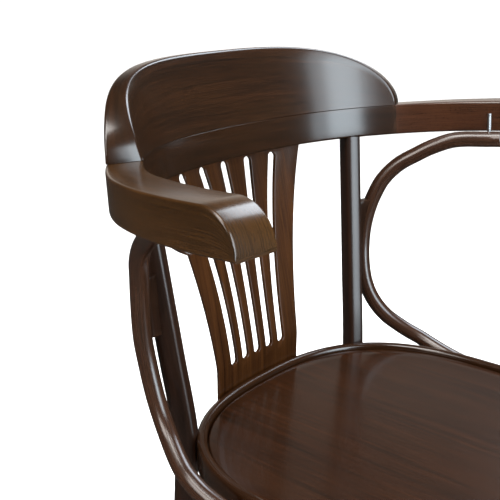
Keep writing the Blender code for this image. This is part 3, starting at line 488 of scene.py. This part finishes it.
# Seat: a bent ring with a rounded lip, and a dished panel let into it
seat = {"squareness": 2.57, "ringWidth": 0.034, "ringHeight": 0.030, "lipWidth": 0.0095,
        "lipOutside": 0.92, "lipCrown": 0.06, "lipInside": 0.04,    # shares of the lip's width
        "ringRounds": [0.002, 0.0052, 0.0040, 0.0004, 0.0015, 0.0030, 0.0034],
        "panelSink": 0.0055, "panelThickness": 0.008, "panelDish": 0.0025, "dishPower": 3.0,
        "panelRound": 0.0022, "panelEase": 0.0006, "panelMiddle": 0.47, "panelRings": 14,
        "groove": 0.0011, "steps": 160}


def seatLoop(inset, height):
    outline = softSquare(0.5 * seatWidth - inset, 0.5 * seatDepth - inset,
                         seat["squareness"], seat["steps"])
    return [Vector((x, y, height)) for x, y in outline]


def makeSeat():
    lip, wide, tall = seat["lipWidth"], seat["ringWidth"], seat["ringHeight"]
    ledge = -seat["panelSink"] - seat["panelThickness"] - gap
    corners = [(0.0, -seat["lipOutside"] * lip), (0.0, seat["lipCrown"] * lip),
               (lip, seat["lipInside"] * lip), (lip, ledge),
               (wide, ledge), (wide, -tall), (0.0, -tall)]
    profile = roundedPolygon(corners, seat["ringRounds"], 6)
    highest = max(point.y for point in profile)
    ring = sweep("seatRing", [seatLoop(point.x, point.y - highest) for point in profile],
                 ring=True, grainAround=True)
    finishPiece(ring, seatFinish, ["seat_ring"])
    top, dish, edge = -seat["panelSink"], seat["panelDish"], lip + seat["groove"]
    middle, soft, ease = seat["panelMiddle"] * seatWidth, seat["panelRound"], seat["panelEase"]
    profile = [(middle, top - dish)]
    for i in range(1, seat["panelRings"] + 1):
        share = i / seat["panelRings"]
        profile.append((blend(middle, edge + soft, share),
                        top - dish * (1.0 - share ** seat["dishPower"])))
    for turn in quarterTurn[1:]:
        profile.append((edge + soft * (1.0 - sin(radians(turn))),
                        top - soft * (1.0 - cos(radians(turn)))))
    profile += [(edge, top - seat["panelThickness"] + ease),
                (edge + ease, top - seat["panelThickness"])]
    panel = sweep("seatPanel", [seatLoop(inset, height) for inset, height in profile])
    finishPiece(panel, panelFinish, ["seat_panel"])


makeSeat()
print("seat ring and panel made")


# The rail, the arms and the crest lie in one plane that rises towards the front. The inner
# edge is in plan shares, from the middle of the back to the nose of the arm.
rail = {"tilt": atan(0.0717), "pivot": 0.971, "underside": 0.2432, "height": 0.034,
        "width": 0.030, "round": 0.0026, "seamRound": 0.0009,
        "innerEdge": [(0.0, 1.146), (0.231, 1.134), (0.4615, 1.095), (0.667, 1.027),
                      (0.856, 0.919), (1.031, 0.770), (1.118, 0.672), (1.187, 0.575),
                      (1.244, 0.4705), (1.290, 0.345), (1.328, 0.209), (1.356, 0.084),
                      (1.377, -0.063), (1.392, -0.2405)],
        "jointKey": 5, "steps": 12}
pivot = inPlan(0.0, rail["pivot"])
railPlane = (Matrix.Translation(pivot + Vector((0.0, 0.0, rail["underside"])))
             @ Matrix.Rotation(-rail["tilt"], 4, "X") @ Matrix.Translation(-pivot))
edgeKeys = [inPlan(*share) for share in rail["innerEdge"]]
innerHalf = smoothLine(mirrored(edgeKeys[1:2], -1.0) + edgeKeys, rail["steps"])[rail["steps"]:]
railHalf = innerHalf[:rail["jointKey"] * rail["steps"] + 1]
armInner = innerHalf[rail["jointKey"] * rail["steps"]:]
railInner = mirrored(railHalf[:0:-1], -1.0) + railHalf
railOuter = offsetLine(railInner, rail["width"])
jointNormal = (railOuter[-1] - railInner[-1]).normalized()
jointAhead = Vector((jointNormal.y, -jointNormal.x, 0.0))


def barLoop(inner, outer, high, radii):
    # radii in the order low inner, low outer, high outer, high inner
    across = (outer - inner).normalized()
    wide = (outer - inner).length
    flat = roundedPolygon([(0.0, 0.0), (wide, 0.0), (wide, high), (0.0, high)], radii, 4)
    return [railPlane @ (inner + across * point.x + Vector((0.0, 0.0, point.y)))
            for point in flat]


# Splat: a thin board that bends back over the seat ring, with five slots that fan out
splat = {"thickness": 0.004, "behindSeat": 0.0005, "footWidth": 0.3487, "headWidth": 0.5856,
         "flare": 2.02, "foot": -0.026, "tenon": 0.012, "upright": 0.020, "bend": 0.100,
         "lean": 0.165, "backCurve": 0.31, "footBow": 0.8, "headBow": 1.5, "bowRise": 1.5,
         "slotWidth": 0.0100, "footPitch": 0.0523, "headPitch": 0.0930, "fan": 2.1,
         "footMargin": 0.0290, "headMargin": 0.0142, "cellMiddle": 0.4, "edge": 0.0010,
         "grainShift": 0.31}


def splatFront(x, z):
    rise = max(0.0, z - splat["upright"])
    bent = min(rise, splat["bend"] * sin(atan(splat["lean"])))
    middle = (0.5 * seatDepth + splat["behindSeat"] + splat["bend"]
              - sqrt(splat["bend"] ** 2 - bent * bent)
              + splat["lean"] * (rise - bent) + splat["backCurve"] * rise * rise)
    share = min(1.0, max(0.0, z / rail["underside"])) ** splat["bowRise"]
    return middle - blend(splat["footBow"], splat["headBow"], share) * x * x


def splatHalf(z):
    share = max(0.0, z) / rail["underside"]
    return 0.5 * blend(splat["footWidth"], splat["headWidth"], share ** splat["flare"]) * seatWidth


def slotEnds():  # heights of the middles of the slots' round ends
    return splat["footMargin"], rail["underside"] - splat["headMargin"]


def slotCenters(z):
    low, high = slotEnds()
    share = min(1.0, max(0.0, (z - low) / (high - low)))
    pitch = blend(splat["footPitch"], splat["headPitch"], share ** splat["fan"])
    return [number * pitch * seatWidth for number in range(-2, 3)]


def splatLines(z, opening):  # 19 places across the board: margins, slot sides, slat middles
    marks = [-splatHalf(z)]
    for center in slotCenters(z):
        marks += [center - opening, center + opening]
    marks.append(splatHalf(z))
    lines = [marks[0], 0.5 * (marks[0] + marks[1])]
    for k in range(1, 11):
        lines.append(marks[k])
        if k in (2, 4, 6, 8):
            lines.append(0.5 * (marks[k] + marks[k + 1]))
    return lines + [blend(marks[10], marks[11], t) for t in (0.33, 0.66, 1.0)]


def makeSplat():
    low, high = slotEnds()
    half = 0.5 * splat["slotWidth"]
    top = (railPlane @ Vector((0.0, splatFront(0.0, rail["underside"]), splat["tenon"]))).z
    turns = [radians(turn) for turn in (0, 18, 36, 54, 72)]
    lowEnd = [(low - half * cos(turn), half * sin(turn)) for turn in turns]
    highEnd = [(high + half * cos(turn), half * sin(turn)) for turn in reversed(turns)]
    rows = [(blend(splat["foot"], low - half, i / 5), 0.0) for i in range(5)]
    rows += lowEnd + [(blend(low, high, i / 40), half) for i in range(41)] + highEnd
    rows += [(blend(high + half, top, i / 3), 0.0) for i in range(1, 4)]
    wide = len(splatLines(low, half))
    deselectAll()
    bpy.ops.mesh.primitive_grid_add(x_subdivisions=wide - 1, y_subdivisions=len(rows) - 1,
                                    size=1.0)
    board = bpy.context.object
    board.name = board.data.name = "backSplat"
    bpy.ops.object.mode_set(mode="EDIT")
    shape = bmesh.from_edit_mesh(board.data)
    grain = shape.loops.layers.uv.verify()
    ordered = sorted(shape.verts, key=lambda vert: (round(vert.co.y, 6), round(vert.co.x, 6)))
    for number, vert in enumerate(ordered):
        row, column = divmod(number, wide)
        z, opening = rows[row]
        x = splatLines(z, opening)[column]
        vert.co = Vector((x, splatFront(x, z), z))
    slotCells = []
    for face in shape.faces:
        middle = face.calc_center_median()
        away = min(abs(middle.x - center) for center in slotCenters(middle.z))
        if low - half < middle.z < high + half and away < splat["cellMiddle"] * half:
            slotCells.append(face)
        for corner in face.loops:
            corner[grain].uv = (corner.vert.co.z, corner.vert.co.x + splat["grainShift"])
    bmesh.ops.delete(shape, geom=slotCells, context="FACES")
    bmesh.update_edit_mesh(board.data)
    bpy.ops.mesh.select_all(action="SELECT")
    bpy.ops.mesh.remove_doubles(threshold=0.00002)
    bpy.ops.mesh.extrude_region_move(
        TRANSFORM_OT_translate={"value": (0.0, splat["thickness"], 0.0)})
    bpy.ops.mesh.select_all(action="SELECT")
    bpy.ops.mesh.normals_make_consistent(inside=False)
    bpy.ops.object.mode_set(mode="OBJECT")
    applyModifier(board, "BEVEL", width=splat["edge"], segments=3, limit_method="ANGLE",
                  angle_limit=radians(55), profile=0.6)
    finishPiece(board, splatFinish, ["splat"], angle=40)


# Rear legs: their shape is set here, before the rail is made and cut out for their ends
rearLeg = {"atSeat": (0.7565, 0.847), "atRail": (0.859, 0.994), "socket": 0.014,
           "lower": [(0.892, 1.150, 1.0), (0.841, 1.030, 0.761), (0.795, 0.933, 0.511),
                     (0.767, 0.870, 0.261), (0.7575, 0.847, 0.098)],
           "footRadius": 0.0105, "seatRadius": 0.0119, "topRadius": 0.0116, "foot": 0.0038,
           "squareness": 3.6, "narrowing": 0.86, "blend": 0.045, "turn": radians(29.0),
           "ease": 0.0012, "clearance": 0.0002, "around": 40, "lineSteps": 10}
legAtSeat = inPlan(*rearLeg["atSeat"])
legUp = inPlan(*rearLeg["atRail"], rail["underside"]) - legAtSeat
legTop = legAtSeat + legUp * (1.0 + rearLeg["socket"] / legUp.z)
rearKeys = [inPlan(x, y, -drop * seatHeight) for x, y, drop in rearLeg["lower"]]
rearKeys += [legAtSeat, legAtSeat + 0.33 * legUp, legAtSeat + 0.67 * legUp, legTop]
rearLine = smoothLine(rearKeys, rearLeg["lineSteps"])


def rearRadius(z):
    if z < 0.0:
        return blend(rearLeg["seatRadius"], rearLeg["footRadius"], min(1.0, -z / seatHeight))
    return blend(rearLeg["seatRadius"], rearLeg["topRadius"], min(1.0, z / rail["underside"]))


# Round below the seat, a soft rectangle with its flat front square to the rail above it
def rearSection(place, sign, grow):
    share = min(1.0, max(0.0, 1.0 + place.z / rearLeg["blend"]))
    squareness = blend(2.0, rearLeg["squareness"], share)
    deep = rearRadius(place.z) + grow
    wide = rearRadius(place.z) * blend(1.0, rearLeg["narrowing"], share) + grow
    turn = Matrix.Rotation(-sign * rearLeg["turn"], 3, "Z")
    return [place + turn @ Vector((x, y, 0.0))
            for x, y in softSquare(wide, deep, squareness, rearLeg["around"])]


def rearLegRod(name, sign, grow=0.0):
    whole = mirrored(rearLine, sign)
    bottom = rearLeg["foot"] - seatHeight
    line = [atHeight(whole, bottom)]
    line += [place for place in whole if place.z > bottom + leastStation]
    loops = [rearSection(place, sign, grow) for place in line]
    if grow == 0.0:
        loops[0] = rearSection(line[0], sign, -rearLeg["ease"])
    return sweep(name, loops)


def makeRail():
    soft, seam = rail["round"], rail["seamRound"]
    loops = [barLoop(a, b, rail["height"], (soft, soft, seam, seam))
             for a, b in zip(railInner, railOuter)]
    bow = sweep("backRail", loops)
    carve(bow, [rearLegRod("legTool", sign, rearLeg["clearance"]) for _, sign in sides])
    finishPiece(bow, railFinish, ["back_rail"])


# Arms: each one widens from the rail's width and ends in a quarter round
arm = {"width": 0.037, "widensOver": 0.62, "noseRound": 0.031, "noseDegrees": 5,
       "leastStation": 0.001, "round": 0.0023}


def makeArms():
    total = lineLength(armInner)
    whole = railHalf[-2:-1] + armInner
    normals = [b - a for a, b in zip(whole, offsetLine(whole, 1.0))][1:]
    runs = [0.0]
    for a, b in zip(armInner, armInner[1:]):
        runs.append(runs[-1] + (b - a).length)
    nose = arm["noseRound"]
    noseRuns = [total - nose * (1.0 - sin(radians(turn)))
                for turn in range(0, 91, arm["noseDegrees"])]
    stations = [run for run in runs if run < noseRuns[0] - arm["leastStation"]] + noseRuns
    loops = []
    for run in stations:
        inner = along(armInner, run)
        k = max(i for i, start in enumerate(runs) if start <= run + 0.000001)
        k = min(k, len(runs) - 2)
        share = (run - runs[k]) / (runs[k + 1] - runs[k])
        normal = normals[k].lerp(normals[k + 1], share).normalized() if run > 0.0 else jointNormal
        grown = min(1.0, run / (arm["widensOver"] * total))
        more = (arm["width"] - rail["width"]) * grown * grown * (3.0 - 2.0 * grown)
        outer = inner + normal * (rail["width"] + more)
        if run == 0.0:
            inner, outer = inner + jointAhead * gap, outer + jointAhead * gap
        left = total - run
        drop = 0.0
        if left < nose:
            drop = nose - sqrt(max(0.0, nose ** 2 - (nose - left) ** 2))
        loops.append(barLoop(inner, outer, rail["height"] - drop, (arm["round"],) * 4))
    for side, sign in sides:
        name = "arm" + side.capitalize()
        piece = sweep(name, [mirrored(loop, sign) for loop in loops])
        finishPiece(piece, farArmPaintedLightFinish if sign > 0 else armFinish, ["arm_" + side])


# Crest: a board that stands on the rail, leans back and thins out to both ends
crest = {"height": 0.076, "roundAlong": 3.2, "roundUp": 1.8, "lean": 0.26, "endSkew": 0.012,
         "edge": 0.0024, "steps": 72, "rows": 7}


def makeCrest():
    inner = mirrored(innerHalf[:0:-1], -1.0) + innerHalf
    outer = offsetLine(inner, rail["width"])
    innerMiddle, outerMiddle = lineLength(inner) / 2, lineLength(outer) / 2
    innerReach = lineLength(railHalf)
    outerReach = lineLength(offsetLine(railHalf, rail["width"])) + crest["endSkew"]
    base = rail["height"] + gap
    edge = crest["edge"]

    def spot(share, height, depth):  # depth runs from 0 at the front face to 1 at the back
        a = along(inner, innerMiddle + share * innerReach)
        b = along(outer, outerMiddle + share * outerReach)
        across, wide = (b - a).normalized(), (b - a).length
        front = crest["lean"] * height
        return railPlane @ (a + across * (front + (wide - front) * depth)
                            + Vector((0.0, 0.0, base + height)))

    outline = []
    for i in range(-crest["steps"], crest["steps"] + 1):
        share = sin(0.5 * pi * i / crest["steps"])
        fill = max(0.0, 1.0 - abs(share) ** crest["roundAlong"])
        rise = crest["height"] * fill ** (1 / crest["roundUp"])
        outline.append(Vector((share * innerReach, rise)))
    loops = []
    for i, place in enumerate(outline):
        step = outline[min(i + 1, len(outline) - 1)] - outline[max(i - 1, 0)]
        inward = Vector((step.y, -step.x)).normalized()
        if i in (0, len(outline) - 1):
            inward = Vector((-copysign(1.0, place.x), 0.0))
        loop = []
        for front in (True, False):
            arc = []
            for turn in quarterTurn:
                angle = radians(turn)
                inset = edge * (1.0 - sin(angle))
                point = place + inward * min(inset, mostRound * max(place.y, edge))
                depth = edge * (1.0 - cos(angle))
                arc.append((point, depth))
            foot = arc[0][0]
            face = [(Vector((foot.x, max(0.0, foot.y) * k / crest["rows"])), 0.0)
                    for k in range(crest["rows"])]
            run = face + arc
            for point, depth in (run if front else reversed(run)):
                share = point.x / innerReach
                height = max(0.0, point.y)
                wide = rail["width"] - crest["lean"] * height
                t = depth / wide
                loop.append(spot(share, height, t if front else 1.0 - t))
        loops.append(loop)
    board = sweep("crestRail", loops)
    finishPiece(board, crestFinish, ["crest_rail"], angle=40)


makeRail()
makeArms()
makeCrest()
makeSplat()
print("rail, arms, crest and splat made")


def makeRearLegs():
    for side, sign in sides:
        leg = rearLegRod("rearLeg" + side.capitalize(), sign)
        finishPiece(leg, legFinish, ["rear_leg_" + side])


# Front legs: upright at the knee, then splayed and thinner towards the floor
frontLeg = {"across": 0.692, "atFloor": (0.785, -0.8365), "knee": 0.045, "shoulder": 0.0155,
            "swell": 0.0008, "swellEnd": 2.2, "footRadius": 0.0110, "foot": 0.0038,
            "ease": 0.0012, "around": 28, "lineSteps": 12}


def makeFrontLegs():
    inset = 0.5 * seat["ringWidth"]
    x = 0.5 * seatWidth * frontLeg["across"]
    share = (x / (0.5 * seatWidth - inset)) ** seat["squareness"]
    y = -(0.5 * seatDepth - inset) * (1.0 - share) ** (1.0 / seat["squareness"])
    top = Vector((x, y, -seat["ringHeight"] - gap))
    knee = top - Vector((0.0, 0.0, frontLeg["knee"]))
    floorPlace = inPlan(*frontLeg["atFloor"], -seatHeight)
    line = smoothLine([top, knee, knee.lerp(floorPlace, 0.5), floorPlace],
                      frontLeg["lineSteps"])
    foot = atHeight(line, frontLeg["foot"] - seatHeight)
    line = [place for place in line if place.z > foot.z + leastStation] + [foot]
    line.insert(1, top - Vector((0.0, 0.0, frontLeg["ease"])))
    radii = []
    for place in line:
        run = (place.z - top.z) / (floorPlace.z - top.z)
        bulge = sin(pi * min(1.0, frontLeg["swellEnd"] * run))
        radii.append(blend(frontLeg["shoulder"], frontLeg["footRadius"], run)
                     + frontLeg["swell"] * bulge)
    radii[0] -= frontLeg["ease"]     # eased shoulder and foot
    radii[-1] -= frontLeg["ease"]
    for side, sign in sides:
        leg = rod("frontLeg" + side.capitalize(), mirrored(line, sign), radii,
                  frontLeg["around"])
        finishPiece(leg, legFinish, ["front_leg_" + side])


makeRearLegs()
makeFrontLegs()
print("legs made")


# Side hoops run from under the arm, past the rear leg, to the side of the seat ring. The line
# is in plan shares and shares of the rail's height; its first three points lie under the arm.
hoop = {"radius": 0.0090,
        "line": [(1.328, 0.220, 0.0), (1.305, 0.293, 0.0), (1.223, 0.4705, 0.0),
                 (1.164, 0.5855, 0.954), (1.1155, 0.674, 0.911), (1.069, 0.766, 0.859),
                 (1.026, 0.842, 0.785), (0.992, 0.883, 0.703), (0.969, 0.910, 0.617),
                 (0.954, 0.925, 0.522), (0.946, 0.925, 0.432), (0.9375, 0.911, 0.345),
                 (0.936, 0.887, 0.267), (0.942, 0.852, 0.2015), (0.956, 0.800, 0.140),
                 (0.977, 0.739, 0.0905), (1.004, 0.6735, 0.0535), (1.031, 0.601, 0.0205),
                 (1.049, 0.533, -0.002), (1.0565, 0.444, -0.029), (1.0545, 0.340, -0.0515),
                 (1.0505, 0.235, -0.068), (1.048, 0.131, -0.078), (1.048, 0.021, -0.082)],
        "underArm": 3, "endEase": 0.0016, "endRun": 0.0018, "around": 24, "lineSteps": 6,
        "spacerLow": 0.44, "spacerHigh": 0.687, "spacerWidth": 0.010, "spacerLoops": 12,
        "spacerInLeg": 0.9, "spacerSink": 0.0012, "spacerEdge": 0.0012}


def hoopKeys():
    keys = []
    for number, (x, y, rise) in enumerate(hoop["line"]):
        place = inPlan(x, y, rise * rail["underside"])
        if number < hoop["underArm"]:
            drop = (hoop["radius"] + gap) / cos(rail["tilt"])
            place.z = rail["underside"] - tan(rail["tilt"]) * (place.y - pivot.y) - drop
        keys.append(place)
    return keys


def hoopPath():  # the hoop's middle line, with a short stretch at each end for its eased rim
    line = smoothLine(hoopKeys(), hoop["lineSteps"])
    start = line[0] + (line[1] - line[0]).normalized() * hoop["endRun"]
    end = line[-1] + (line[-2] - line[-1]).normalized() * hoop["endRun"]
    return [line[0], start] + line[1:-1] + [end, line[-1]]


def makeHoops():
    line = hoopPath()
    endRadius = hoop["radius"] - hoop["endEase"]
    radii = [endRadius] + [hoop["radius"]] * (len(line) - 2) + [endRadius]
    for side, sign in sides:
        tube = rod("sideHoop" + side.capitalize(), mirrored(line, sign), radii, hoop["around"])
        finishPiece(tube, hoopFinish, ["side_hoop_" + side])


def makeSpacers():  # each block reaches a little into the rounds of the leg and the hoop
    count = hoop["spacerLoops"]
    for side, sign in sides:
        hoopLine, legLine = mirrored(hoopPath(), sign), mirrored(rearLine, sign)
        loops = []
        for i in range(count + 1):
            z = blend(hoop["spacerLow"], hoop["spacerHigh"], i / count) * rail["underside"]
            atLeg, atHoop = atHeight(legLine, z), atHeight(hoopLine, z)
            across = (atHoop - atLeg).normalized()
            sideways = Vector((-across.y, across.x, 0.0)) * 0.5 * hoop["spacerWidth"]
            a = atLeg + across * (hoop["spacerInLeg"] * rearRadius(z) - hoop["spacerSink"])
            b = atHoop - across * (hoop["radius"] - hoop["spacerSink"])
            loops.append([a - sideways, b - sideways, b + sideways, a + sideways])
        block = sweep("hoopSpacer" + side.capitalize(), loops)
        applyModifier(block, "BEVEL", width=hoop["spacerEdge"], segments=3,
                      limit_method="ANGLE", angle_limit=radians(50))
        finishPiece(block, spacerFinish, ["hoop_spacer_" + side])


makeHoops()
makeSpacers()
print("side hoops and spacers made")


# Hoop stretcher inside the legs, with the seat's outline
stretcher = {"around": 24, "steps": 144}


def makeStretcher():
    low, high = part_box("stretcher_ring")
    radius = 0.5 * (high.z - low.z)
    middleY = 0.5 * (low.y + high.y) - seatMiddle.y
    z = 0.5 * (low.z + high.z) - seatMiddle.z
    halfWide = 0.5 * (high.x - low.x) - radius
    halfDeep = 0.5 * (high.y - low.y) - radius
    loops = []
    for k in range(stretcher["around"]):
        turn = 2.0 * pi * k / stretcher["around"]
        out, up = radius * cos(turn), radius * sin(turn)
        outline = softSquare(halfWide + out, halfDeep + out, seat["squareness"],
                             stretcher["steps"])
        loops.append([Vector((x, middleY + y, z + up)) for x, y in outline])
    ring = sweep("stretcherRing", loops, ring=True, grainAround=True)
    finishPiece(ring, hoopFinish, ["stretcher_ring"])


makeStretcher()
print("stretcher made")


# Finishes of the small parts
def spottedFinish(name, look):
    material = bpy.data.materials.new(name)
    material.use_nodes = True
    tree = material.node_tree
    shader = tree.nodes["Principled BSDF"]
    place = addNode(tree, "ShaderNodeTexCoord", "place")
    spots = noise(tree, "spots", place.outputs["Object"], look["spotSize"], 5.0, 0.6)
    spotMask = ranged(tree, "spotMask", spots, 0.4, 0.7)
    color = mixed(tree, "dulled", spotMask, look["bright"], look["dull"])
    tree.links.new(color, shader.inputs["Base Color"])
    tree.links.new(ranged(tree, "roughSpots", spots, 0.3, 0.7, look["smooth"], look["rough"]),
                   shader.inputs["Roughness"])
    shader.inputs["Metallic"].default_value = look["metallic"]
    return material


zincFinish = spottedFinish("zincScrews", {
    "bright": (0.62, 0.63, 0.65), "dull": (0.36, 0.36, 0.36), "smooth": 0.22, "rough": 0.42,
    "spotSize": 900.0, "metallic": 1.0})
glideFinish = spottedFinish("brownGlide", {
    "bright": (0.040, 0.026, 0.019), "dull": (0.022, 0.014, 0.010), "smooth": 0.40,
    "rough": 0.60, "spotSize": 500.0, "metallic": 0.0})
beechFinish = woodFinish("bareBeech", dict(
    walnut, dark=(0.42, 0.26, 0.14), middle=(0.58, 0.39, 0.23), warm=(0.64, 0.44, 0.27),
    worn=(0.7, 0.5, 0.3), lacquer=0.0, roughness=0.6, straight=True))
smallFinishes = {"screw": zincFinish, "bolt": zincFinish, "glide": glideFinish,
                 "dowel": beechFinish}
for name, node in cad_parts.items():
    for word, finish in smallFinishes.items():
        if word in name:
            node.data.materials.clear()
            node.data.materials.append(finish)
print("small parts finished")


# Stage: a pale floor and soft light from overhead. The room is white to the camera; what the
# wood mirrors of it is dim, with a bright wall behind the chair.
stage = {"floorSize": 90.0, "floor": (0.94, 0.94, 0.94), "floorUneven": 0.985,
         "floorRoughness": 0.9, "roomDim": 0.065, "roomBright": 1.2,
         "roomBack": (0.72, 0.60, 0.30), "wallSpread": (0.84, 0.965),
         "wallFall": (0.57, 0.10), "wallFoot": (-0.22, 0.04), "roomColor": (1.0, 0.93, 0.85),
         "overhead": 3.5, "overheadAngle": 50.0, "overheadTurn": (0.12, 0.05, 0.0),
         "camera": (-0.68062, -0.39629, 0.88815), "elevation": 18.0545, "azimuth": -50.2254,
         "lens": 62.12, "sensor": 36.0, "shiftY": 0.0039, "farthest": 200.0}


def makeFloor():
    deselectAll()
    bpy.ops.mesh.primitive_plane_add(size=stage["floorSize"])
    floor = bpy.context.object
    floor.name = "studioFloor"
    paper = bpy.data.materials.new("paleFloor")
    paper.use_nodes = True
    tree = paper.node_tree
    shader = tree.nodes["Principled BSDF"]
    place = addNode(tree, "ShaderNodeTexCoord", "place")
    blotches = noise(tree, "paperNoise", place.outputs["Object"], 1.5, 2.0)
    tone = ranged(tree, "paperTone", blotches, 0.3, 0.7, stage["floorUneven"], 1.0)
    color = addNode(tree, "ShaderNodeCombineColor", "paperColor")
    for channel, value in zip(("Red", "Green", "Blue"), stage["floor"]):
        tree.links.new(calc(tree, "tone" + channel, "MULTIPLY", tone, value),
                       color.inputs[channel])
    tree.links.new(color.outputs["Color"], shader.inputs["Base Color"])
    setInputs(shader, {"Roughness": stage["floorRoughness"], "Specular IOR Level": 0.0})
    floor.data.materials.append(paper)
    floor.visible_glossy = False    # satin wood mirrors the room, not the bare floor


def makeRoom():
    world = bpy.data.worlds.new("studioWorld")
    world.use_nodes = True
    room = world.node_tree
    toward = addNode(room, "ShaderNodeTexCoord", "roomPlace").outputs["Generated"]
    behind = addNode(room, "ShaderNodeVectorMath", "behindChair", operation="DOT_PRODUCT")
    behind.inputs[1].default_value = stage["roomBack"]
    room.links.new(toward, behind.inputs[0])
    split = addNode(room, "ShaderNodeSeparateXYZ", "roomHeight")
    room.links.new(toward, split.inputs["Vector"])
    wall = calc(room, "wallGlow", "MULTIPLY",
                ranged(room, "behindGlow", behind.outputs["Value"], *stage["wallSpread"]),
                ranged(room, "fallsWithHeight", split.outputs["Z"], *stage["wallFall"]))
    wall = calc(room, "aboveFloor", "MULTIPLY", wall,
                ranged(room, "darkBelow", split.outputs["Z"], *stage["wallFoot"]))
    seen = addNode(room, "ShaderNodeLightPath", "seenDirectly").outputs["Is Camera Ray"]
    glow = ranged(room, "roomLight", wall, 0.0, 1.0, stage["roomDim"], stage["roomBright"])
    room.links.new(calc(room, "paleBackdrop", "MAXIMUM", glow, seen),
                   room.nodes["Background"].inputs["Strength"])
    room.links.new(mixed(room, "roomTint", seen, stage["roomColor"], (1.0, 1.0, 1.0)),
                   room.nodes["Background"].inputs["Color"])
    bpy.context.scene.world = world


def makeOverhead():
    bpy.ops.object.light_add(type="SUN", location=(0.0, 0.0, 3.0),
                             rotation=stage["overheadTurn"])
    sun = bpy.context.object
    sun.name = "overheadLight"
    sun.data.energy = stage["overhead"]
    sun.data.angle = radians(stage["overheadAngle"])
    sun.visible_glossy = False    # the soft boxes make the highlights


# Soft boxes: power in watts, and each one faces the place that it is aimed at
softBoxes = [
    {"name": "lowWindow", "place": (0.20, -2.45, 0.62), "aim": (0.20, 0.15, 0.62),
     "size": (1.50, 1.1), "power": 28.5, "color": (0.79, 0.91, 1.0)},
    {"name": "highWindow", "place": (0.05, -2.42, 1.95), "aim": (0.05, 0.15, 0.95),
     "size": (1.80, 1.6), "power": 50.0, "color": (0.81, 0.92, 1.0)},
    {"name": "windowCore", "place": (-0.02, -2.40, 1.35), "aim": (-0.02, 0.15, 0.95),
     "size": (0.85, 2.6), "power": 55.0, "color": (0.80, 0.92, 1.0)},
    {"name": "noseBox", "place": (2.00, 0.00, 2.70), "aim": (-0.29, -0.07, 0.74),
     "size": (1.4, 1.4), "power": 68.0, "color": (0.80, 0.90, 1.0)},
    {"name": "rimBox", "place": (-0.95, -0.05, 3.2), "aim": (-0.29, 0.05, 0.74),
     "size": (1.2, 1.4), "power": 80.0, "color": (1.0, 0.98, 0.95)},
    {"name": "leftBox", "place": (-2.50, 0.24, 2.40), "aim": (-0.20, 0.11, 0.55),
     "size": (1.3, 1.6), "power": 70.0, "color": (1.0, 0.94, 0.88)},
]


def makeSoftBoxes():
    for box in softBoxes:
        place, aim = Vector(box["place"]), Vector(box["aim"])
        turn = (place - aim).to_track_quat("Z", "Y").to_euler()
        bpy.ops.object.light_add(type="AREA", location=place, rotation=turn)
        light = bpy.context.object
        light.name = box["name"]
        light.data.shape = "RECTANGLE"
        light.data.size, light.data.size_y = box["size"]
        light.data.energy = box["power"]
        light.data.color = box["color"]


def makeCamera():
    bpy.ops.object.camera_add(
        location=stage["camera"],
        rotation=(radians(90.0 - stage["elevation"]), 0.0, radians(stage["azimuth"])))
    camera = bpy.context.object
    camera.name = "photoCamera"
    camera.data.sensor_width = stage["sensor"]
    camera.data.lens = stage["lens"]
    camera.data.shift_y = stage["shiftY"]
    camera.data.clip_end = stage["farthest"]
    bpy.context.scene.camera = camera
    bpy.context.scene.view_settings.view_transform = "Standard"


makeFloor()
makeRoom()
makeOverhead()
makeSoftBoxes()
makeCamera()
deselectAll()
print("stage, lights and camera set")
